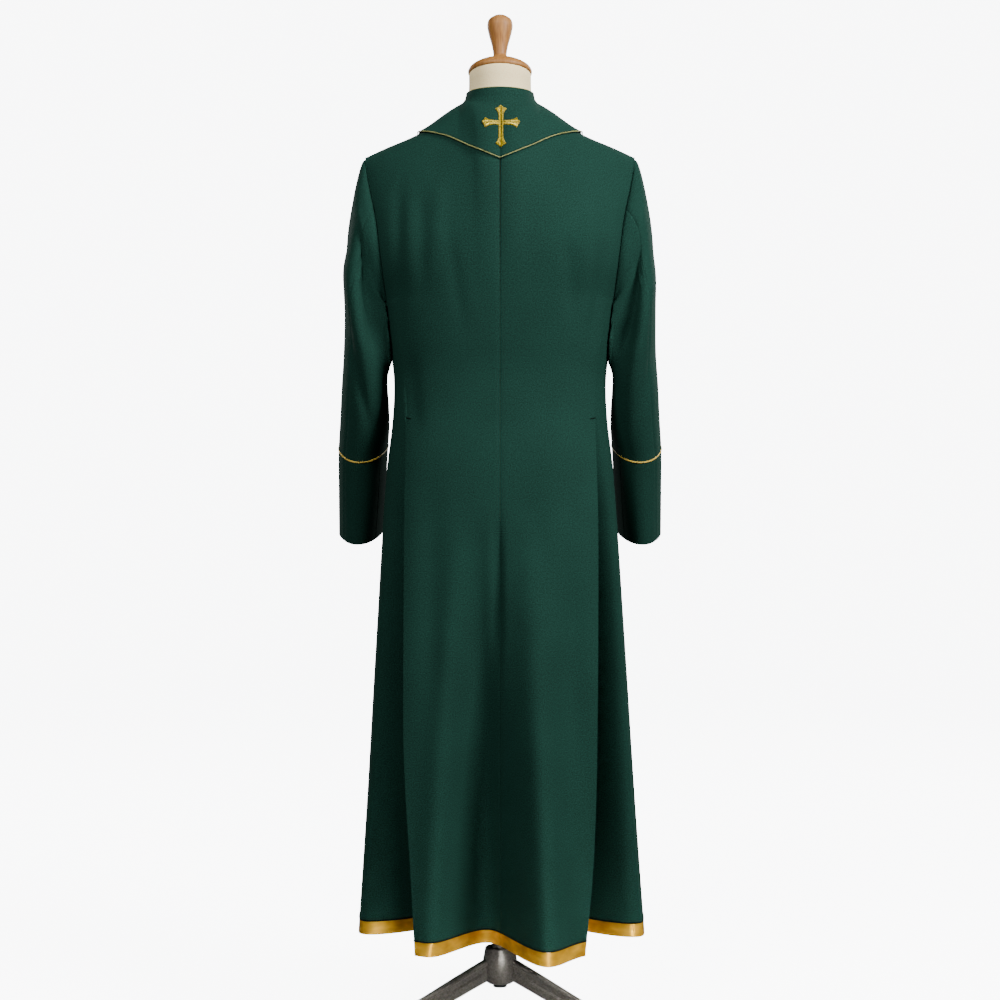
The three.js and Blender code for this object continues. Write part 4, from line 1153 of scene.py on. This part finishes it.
# %% [markdown]
# ## The turned-down collar
# The fall is one grid: turn goes round the neck from the centre back, and run goes from the roll
# to the piped edge. It is carried by the stand at the roll and by the panels at the edge.

# %% Collar
ROLL_HALF, ROLL_BEHIND, ROLL_BEFORE, ROLL_HEIGHT, ROLL_DROP = 57.3, 61, 58, 1581, 14
FALL_END, STAND_END = 1.93, 1.9
FALL_CORD, BINDING = 0.95, 0.6


def roll_point(around):
    """The roll of the collar: an oval round the neck that falls towards the throat."""
    angle = around * np.pi / 2
    depth = np.where(around < 1, ROLL_BEHIND, ROLL_BEFORE)
    fall = np.where(around < 1, around, 1 + ROLL_DROP * (around - 1) ** 2)
    return xyz(ROLL_HALF * np.sin(angle), -depth * np.cos(angle), ROLL_HEIGHT - fall)


def off_shoulder(points):
    """Unit way out of the garment, about a line that leans out with the shoulders."""
    return unit(points - xyz(0.5 * points[..., 0], 0, SPINE_TOP))


def fall_point(turn, run, extra=0.0):
    """From the roll at the neck to the edge, lying on the back or the front with a little lift."""
    turn, run = (np.array(part, float) for part in np.broadcast_arrays(turn, run))
    around = np.abs(turn)
    front = around >= 1
    edge_u, edge_v = (
        np.where(front, read(FALL_EDGE_FRONT, i + 1, around), np.interp(around, EDGE_TURNS, found))
        for i, found in enumerate(EDGE_PLACES)
    )
    start = np.where(around <= 1, around, 2 - around) * NECK_SHARE
    out = read(FALL_ROWS, 2, run)
    u, v = start + (edge_u - start) * out, 1 + (edge_v - 1) * out
    u, v = np.clip(u, 0, 1), np.clip(v, 0, 1)
    lying = np.where(front[..., None], upper_front(u, v), upper_back(u, v))
    lift = read(FALL_ROWS, 3, run) + 3 * np.maximum(0, around - 1.3) + extra
    lying = lying + off_shoulder(lying) * lift[..., None]
    roll = roll_point(around)
    return to_its_side(roll + (lying - roll) * read(FALL_ROWS, 1, run)[..., None], turn)


half_turns = np.linspace(0, FALL_END, 90)
turns = np.concatenate([-half_turns[:0:-1], half_turns])
runs = np.concatenate([np.linspace(0, 0.97, 40), [0.985, 0.993, 1]])
fall_grid = fall_point(turns, runs[:, None])
shape = -0.66 * bell((runs[:, None] - 0.13) / 0.03) * (np.abs(turns) < 1.2)
cloth(
    "collar_fall_cloth", fall_grid, wool, "collar_fall", "wool_twill",
    shape=shape,
)

stand_turns = np.clip(turns, -STAND_END, STAND_END)
around = np.abs(stand_turns)
top = roll_point(around) * (0.964, 0.964, 1)
bottom = np.where(
    (around <= 1)[:, None],
    top_edge(around * NECK_SHARE, NAPE),
    top_edge((2 - around) * NECK_SHARE, THROAT),
) * (1, 0.985, 1) + (-0.5, 0, 1.4)
rise = np.linspace(0, 1, 14)[:, None, None]
stand_grid = to_its_side(top + (bottom - top) * rise, stand_turns)
cloth(
    "collar_stand_cloth", stand_grid, wool, "collar_stand", "wool_twill",
    thick=1.4,
)

edge_turns = turns[np.abs(turns) < STAND_END]
rim = fall_point(edge_turns, 1.0)
out = unit(rim - fall_point(edge_turns, 0.97))
way = unit(fall_point(edge_turns + 0.03, 1.0) - fall_point(edge_turns - 0.03, 1.0))
rim = rim + unit(out - way * np.sum(out * way, axis=-1, keepdims=True)) * (1 + FALL_CORD)
rim = rim - 0.1 * off_shoulder(rim)
carried("collar_cord", rim, FALL_CORD, pale_cord, "collar_piping", "gold_piping")

top_turns = np.linspace(-1.25, 1.25, 121)
top_line = to_its_side(roll_point(np.abs(top_turns)), top_turns) + (0, 0, 0.25)
carried("collar_top_binding", top_line, BINDING, pale_cord, None, "gold_piping")

# %% [markdown]
# ## The embroidered cross
# A plain Latin cross with flared ends, each with three small points, is worked in satin stitch
# over padding. Each arm is a grid: along the arm, and across its changing width, with a rounded
# pad. Where the arms meet they start from a point, so that the four fit without a gap.

# %% Cross
BAR = 3.7


def stitched(name):
    """Satin stitch: threads that cross the arm, 0.5 mm apart and drawn at 1.3 mm, over padding."""
    material, tree = new_material(name)
    coords = surface_coords(tree)
    threads = stripes(tree, coords, 1.3, "Y", {"Distortion": 1.2, "Detail": 1.0})
    colour = ramp(tree, noise(tree, coords, 420.0, 2.0), "#463a00", "#c2a81c", 0.32, 0.6)
    finish(tree, colour, 0.36, {"Metallic": 0.4}, threads, 0.7, 0.0004)
    return material


embroidery = stitched("gold_satin_stitch")


# Distance back from the tip, half width
CROSS_END = [
    (19, 3.8), (14, 4.6), (10.5, 5.9), (7.6, 7.6), (5.6, 9.2), (4.6, 8.0), (3.4, 4.2), (1.6, 2.6),
    (0, 0.3),
]
# Length of the arm, turn in degrees from straight up
CROSS_ARMS = [(31, 0), (31.5, -90), (42.5, 180), (31.5, 90)]
CROSS_CENTRE = (1.5, 1515.7)


def spun(x, y, degrees):
    """The two coordinates turned about their origin."""
    cosine, sine = np.cos(np.radians(degrees)), np.sin(np.radians(degrees))
    return x * cosine - y * sine, x * sine + y * cosine


def cross_arm(length, turn):
    """One arm as x, y and pad height, with its own flat distances: a point, the bar, the flare."""
    ends = [0, BAR] + [length - back for back, _ in CROSS_END]
    rows = [np.linspace(a, b, 7) for a, b in zip(ends[:-1], ends[1:])]
    along = np.unique(np.concatenate(rows))[:, None]
    width = np.interp(along, ends, [0, BAR] + [half for _, half in CROSS_END])
    across = width * np.linspace(-1, 1, 17)
    pad = 1.0 + 1.6 * np.sqrt(np.maximum(0, 1 - (across / np.maximum(width, BAR)) ** 2))
    pad = pad - 1.3 * bell(across / 0.9) * np.clip(length - 2 - along, 0, 1)
    up = along + 0 * across
    return *spun(across, up, turn), pad, np.stack([across + 20 * turn, up], axis=-1)


def on_fall(turn, run):
    return fall_point(turn, run, 1.0)


cross_points, cross_faces, cross_uv = [], [], []
for length, turn in CROSS_ARMS:
    x, y, pad, flat = cross_arm(length, turn)
    across, up = x + CROSS_CENTRE[0], y + CROSS_CENTRE[1]
    where = find(on_fall, (x / 150, (62 - y) / 125), across, up, -1)
    start = sum(map(len, cross_points))
    layers = [fall_point(*where, lift).reshape(-1, 3) for lift in (pad, 0.35)]
    cross_points.append(np.concatenate(layers))
    cross_faces.append(shell_faces(*x.shape, ends=False, start=start))
    cross_uv.append(np.tile(flat.reshape(-1, 2), (2, 1)))
piece(
    "collar_cross_stitches",
    *(np.concatenate(parts) for parts in (cross_points, cross_faces, cross_uv)),
    embroidery, "collar_cross", "gold_embroidery", 50,
)

# %% [markdown]
# ## Wood, iron, rubber and linen
# These are the dress form's materials. The oiled beech has grain along its upright axis, the stand
# is grey cast iron with a fine skin, and the cover is undyed linen in a plain weave.


# %% Materials of the form
def grained(name, low, high, roughness):
    """Turned wood: grain lines along the upright axis, stretched noise about 2 mm apart."""
    material, tree = new_material(name)
    grain = noise(tree, mapped(tree, object_coords(tree), 0, (1.0, 1.0, 0.08)), 420.0, 4.0)
    colour = ramp(tree, grain, low, high, 0.3, 0.7)
    oil = {"Coat Weight": 0.08, "Coat Roughness": 0.4}
    finish(tree, colour, roughness, oil, grain, 0.15, 0.0003)
    return material


def plain(name, low, high, roughness, metallic, scale):
    """A moulded or cast surface: fine uneven colour and a slight texture."""
    material, tree = new_material(name)
    uneven = noise(tree, object_coords(tree), scale, 4.0)
    colour = ramp(tree, uneven, low, high, 0.3, 0.7)
    finish(tree, colour, roughness, {"Metallic": metallic}, uneven, 0.15, 0.0004)
    return material


beech = grained("oiled_turned_beech", "#88551f", "#ab7534", 0.6)
iron = plain("grey_cast_iron", "#66625b", "#88837b", 0.4, 0.5, 300.0)
rubber = plain("moulded_rubber", "#242424", "#2e2e2e", 0.75, 0.0, 500.0)
linen = woven("plain_linen_cover", "#f6daa0", "#fff0c2", 1.4, 0, 0.9, 2.0, 0.2)
print("form's materials", [made.name for made in (beech, iron, rubber, linen)])

# %% [markdown]
# ## The padded form
# The form is a padded shell covered in plain linen. Its face follows the garment's, set in, and
# narrows below the waist to a flat foot on the pole. The neck is a second cover, which leans
# forward with the cap.

# %% Form
# Height, half width, depth behind, depth before
FORM = [
    (1228, 189, 112, 109),
    (1160, 180, 106, 102),
    (1095, 171, 100, 96),
    (1029, 171, 104, 98),
    (955, 166, 110, 104),
    (900, 160, 111, 105),
    (855, 150, 105, 100),
]
FORM_FOOT = FORM[-1][0]
CAP_LEAN, CAP_SEAT = np.radians(9.0), 1613.7
# Height, half width, depth behind, depth before, slope of the row towards the front
NECK = [
    (1613, 0, 0, 0, np.tan(CAP_LEAN)),
    (1613, 30, 31, 28, np.tan(CAP_LEAN)),
    (1613, 52, 54.8, 49.2, np.tan(CAP_LEAN)),
    (1612, 52.8, 55.6, 50, np.tan(CAP_LEAN)),
    (1600, 52.7, 55.6, 50.2, 0.1),
    (1585, 53, 56, 51, 0.08),
    (1568, 55, 59, 53, 0.02),
    (1552, 57, 62, 55, 0),
    (1535, 60, 66, 58, 0),
    (1500, 60, 66, 60, 0),
    (1500, 0, 0, 0, 0),
]


def whole_ring(half):
    """A ring from its right half, which runs from the centre back to the centre front."""
    return np.concatenate([half, (half * (-1, 1, 1))[:, ::-1][:, 1:]], axis=1)


def torso_grid():
    """The garment's upper surface set in, closed at the arms by plates, then ovals and foot."""
    across = np.concatenate([np.linspace(0, NECK_SHARE, 13), np.linspace(NECK_SHARE, 1, 21)[1:]])
    v = np.linspace(1, 0, 40)[:, None]
    back, front = upper_back(across, v), upper_front(across, v)[:, ::-1]
    share = np.linspace(0, 1, 12)[1:-1]
    plate = back[:, -1:] + (front[:, :1] - back[:, -1:]) * share[:, None]
    plate = plate + xyz(8 * np.sin(np.pi * v) * np.sin(np.pi * share), 0, 0)
    high = np.concatenate([back, plate, front], axis=1)
    inset = 7 + 3.4 * np.clip((high[..., 1] - 20) / 30, 0, 1)
    towards = high - xyz(0.72 * high[..., 0], 0, np.minimum(high[..., 2] - 40, SPINE_TOP))
    high = whole_ring(high - unit(towards) * inset[..., None])
    angle = np.linspace(0, 360, high.shape[1])
    low = oval(FORM, down(1215, FORM_FOOT, 12)[:, None], angle, 2.3)
    blend = np.linspace(0, 1, 4)[1:-1, None, None]
    joint = high[-1] + (low[0] - high[-1]) * blend
    foot = low[-1:] * (1, 1, 0) + (0, 0, FORM_FOOT)
    base = [foot * (share, share, 1) for share in (0.8, 0.4, 0)]
    return np.concatenate([high, joint, low, *base])


def neck_grid():
    """Rings of the neck from the table, whose top one leans with the cap."""
    turn, rows = np.linspace(0, 2 * np.pi, 97), []
    for z, half, behind, before, lean in NECK:
        y = -np.cos(turn) * np.where(np.cos(turn) > 0, behind, before)
        y = y - (3 if half == 0 and lean else 0)
        rows.append(xyz(half * np.sin(turn), y, z - lean * y))
    return np.stack(rows)


closed_grid("form_cover", torso_grid(), linen, "form_torso", "linen", 60)
closed_grid("neck_cover", neck_grid(), linen, None, "linen", 60)

# %% [markdown]
# ## The cap, the handle and the stand
# The cap and its handle are turned on a lathe, so each is a profile of radius and height carried
# round an axis, then leaned with the neck. The pole and the cast hub are turned in the same way.
# Each leg is a grooved section carried outwards, and stands on a rubber foot.


# %% Turned parts
def turned(profile, around=64):
    """A profile of radius and height pairs carried round the upright axis."""
    profile = np.array(profile, float)
    angle = np.linspace(0, 2 * np.pi, around + 1)
    radius, height = profile[:, :1], profile[:, 1:]
    return xyz(radius * np.cos(angle), radius * np.sin(angle), height)


def smooth_profile(knots, count=60):
    """A smooth curve through pairs of radius and height, by the distance along them."""
    knots = np.array(knots, float)
    far = np.concatenate([[0], np.cumsum(np.hypot(*np.diff(knots, axis=0).T))])
    place = np.linspace(0, far[-1], count)
    table = [tuple(row) for row in np.column_stack([far, knots])]
    return np.stack([np.maximum(read(table, 1, place), 0), read(table, 2, place)], axis=-1)


def leaned(points):
    """Leans a turned piece forward with the neck and sets it on its seat."""
    y, z = points[..., 1], points[..., 2]
    cosine, sine = np.cos(CAP_LEAN), np.sin(CAP_LEAN)
    return xyz(points[..., 0], y * cosine + z * sine - 3, z * cosine - y * sine + CAP_SEAT)


# Radius and height along each profile
CAP = [(53, 0), (54, 1.2), (54.2, 5.5), (50, 11.5), (37.5, 19), (22, 24.3), (16, 25.8)]
HANDLE = [
    (15.2, 2), (11.6, 7), (11.8, 13), (14, 26), (18.3, 42), (21.2, 55), (21.8, 62), (19.4, 71),
    (11, 77.4),
]
HUB = [(20, 71), (26, 76), (29, 92), (29, 110), (26.5, 124), (25, 131), (22, 133), (19, 131)]
POLE = [(0, 78), (12, 78), (13, 79), (13, 854.2), (12.5, 854.7), (0, 854.7)]
FOOT = [(0, 0), (12, 0), (12.7, 0.6), (13, 2), (13, 10), (12.6, 11.5), (12, 12), (0, 12)]
POLE_HOLE, FOOT_REACH = 13.3, 264

cap = turned(np.concatenate([[(0, 0)], smooth_profile(CAP), [(0, 25.5)]]))
closed_grid("neck_cap_wood", leaned(cap), beech, "neck_cap", "turned_wood")
handle = np.concatenate([[(0, 0), (14.5, 0)], smooth_profile(HANDLE), [(5, 78.8), (0, 79.2)]])
knob = turned(handle) + (0, 0, CAP[-1][1])
closed_grid("neck_handle_wood", leaned(knob), beech, "neck_handle", "turned_wood")
closed_grid("pole_tube", turned(POLE), iron, "pole", "grey_metal")
ends = [(POLE_HOLE, 70)], [(POLE_HOLE, 129), (POLE_HOLE, 70)]
hub = turned(np.concatenate([ends[0], smooth_profile(HUB), ends[1]]))
closed_grid("hub_casting", hub, iron, "base_hub", "grey_metal")

# Reach from the pole, height of the upper face, height of the section
LEG = [
    (29.4, 112.5, 36),
    (60, 100, 35),
    (90, 87.4, 34),
    (152, 61, 27),
    (192, 46, 20),
    (232, 34, 15),
    (279, 24, 12),
]
# Half width, and height as a share of the section's, down its grooved side
LEG_SECTION = [
    (5, 0.5), (7, 0.42), (7, 0.3), (4.6, 0.24), (4.6, 0.02), (8, -0.08), (8, -0.22), (6, -0.5),
]


def leg_grid(degrees):
    """The grooved section carried out from the hub, narrowing and sinking to the foot."""
    half = np.array(LEG_SECTION)
    outline = np.concatenate([half, (half * (-1, 1))[::-1], half[:1]])
    reach = np.linspace(LEG[0][0], LEG[-1][0], 60)[:, None]
    top, tall = read(LEG, 1, reach), read(LEG, 2, reach)
    narrow = 1 - 0.2 * reach / LEG[-1][0]
    grid = xyz(outline[:, 0] * narrow, -reach, top - tall / 2 + outline[:, 1] * tall)
    grid = capped(grid, grid[0].mean(axis=0), grid[-1].mean(axis=0))
    return xyz(*spun(grid[..., 0], grid[..., 1], degrees), grid[..., 2])


for number, degrees in enumerate((-60, 60, 180), 1):
    leg, angle = f"leg_{number}", np.radians(degrees)
    closed_grid(f"leg_casting_{number}", leg_grid(degrees), iron, leg, "grey_metal", 25)
    foot = turned(FOOT, 40) + (FOOT_REACH * np.sin(angle), -FOOT_REACH * np.cos(angle), 0)
    closed_grid(f"foot_pad_{number}", foot, rubber, f"foot_{number}", "rubber_foot")

# %% [markdown]
# ## What is sewn to each piece
# Every piece of cloth is a sheet that was cut flat and sewn before it was hung. The near-black
# strips, cords, bar tacks and cross are listed with the pieces that they are sewn to.

SEWN_ON = {}
for _, word in SIDES:
    for panel in ("back", "side", "front"):
        SEWN_ON[f"{panel}_panel_{word}"] = [f"{panel}_edging_{word}"]
    SEWN_ON[f"back_panel_{word}"].append(f"bar_tack_{word}")
    SEWN_ON[f"cuff_{word}_cloth"] = [f"cuff_cord_{word}"]
SEWN_ON["collar_fall_cloth"] = ["collar_cord", "collar_top_binding", "collar_cross_stitches"]

# %% [markdown]
# ## The studio ground
# One pale sheet runs under the feet and curves up behind, so there is no horizon line.


# %% Ground
def lit_paper(name, glow):
    """Matt studio paper that is lit from behind, so that it stays even and almost white."""
    material, tree = new_material(name)
    fibres = noise(tree, object_coords(tree), 60.0, 2.0)
    light = {"Emission Color": linear(PALE), "Emission Strength": glow, "Specular IOR Level": 0.1}
    finish(tree, ramp(tree, fibres, "#f3f4f6", PALE, 0.3, 0.7), 0.95, light)
    return material


# Metres: how far the sheet goes, where its wall stands, radius of the curve between
REACH, WALL, CURVE = 9, 7.7, 1.2
PAPER_GLOW, AIR_GLOW = 9.0, 0.075


def sweep():
    """A floor, a quarter turn and a wall, as one profile carried across."""
    turn = np.linspace(0, np.pi / 2, 24)
    y = np.concatenate([[-REACH], WALL - CURVE + CURVE * np.sin(turn), [WALL]])
    z = np.concatenate([[0], CURVE - CURVE * np.cos(turn), [REACH]])
    across = np.linspace(-REACH, REACH, 9)
    points = xyz(across, y[:, None], z[:, None] - 0.0006).reshape(-1, 3)
    ids = np.arange(len(points)).reshape(len(y), len(across))
    mesh = bpy.data.meshes.new("pale_sweep")
    mesh.from_pydata(points.tolist(), [], grid_faces(ids).tolist())
    mesh.polygons.foreach_set("use_smooth", np.ones(len(mesh.polygons), bool))
    mesh.materials.append(lit_paper("back_lit_paper", PAPER_GLOW))
    made = bpy.data.objects.new("pale_sweep", mesh)
    made.visible_diffuse = False
    made.visible_glossy = False
    bpy.context.scene.collection.objects.link(made)


sweep()
world = bpy.data.worlds.new("studio_air")
world.use_nodes = True
air = world.node_tree.nodes["Background"]
air.inputs["Color"].default_value = linear("#ffffff")
air.inputs["Strength"].default_value = AIR_GLOW
bpy.context.scene.world = world
print("ground and air, glow", PAPER_GLOW, AIR_GLOW)
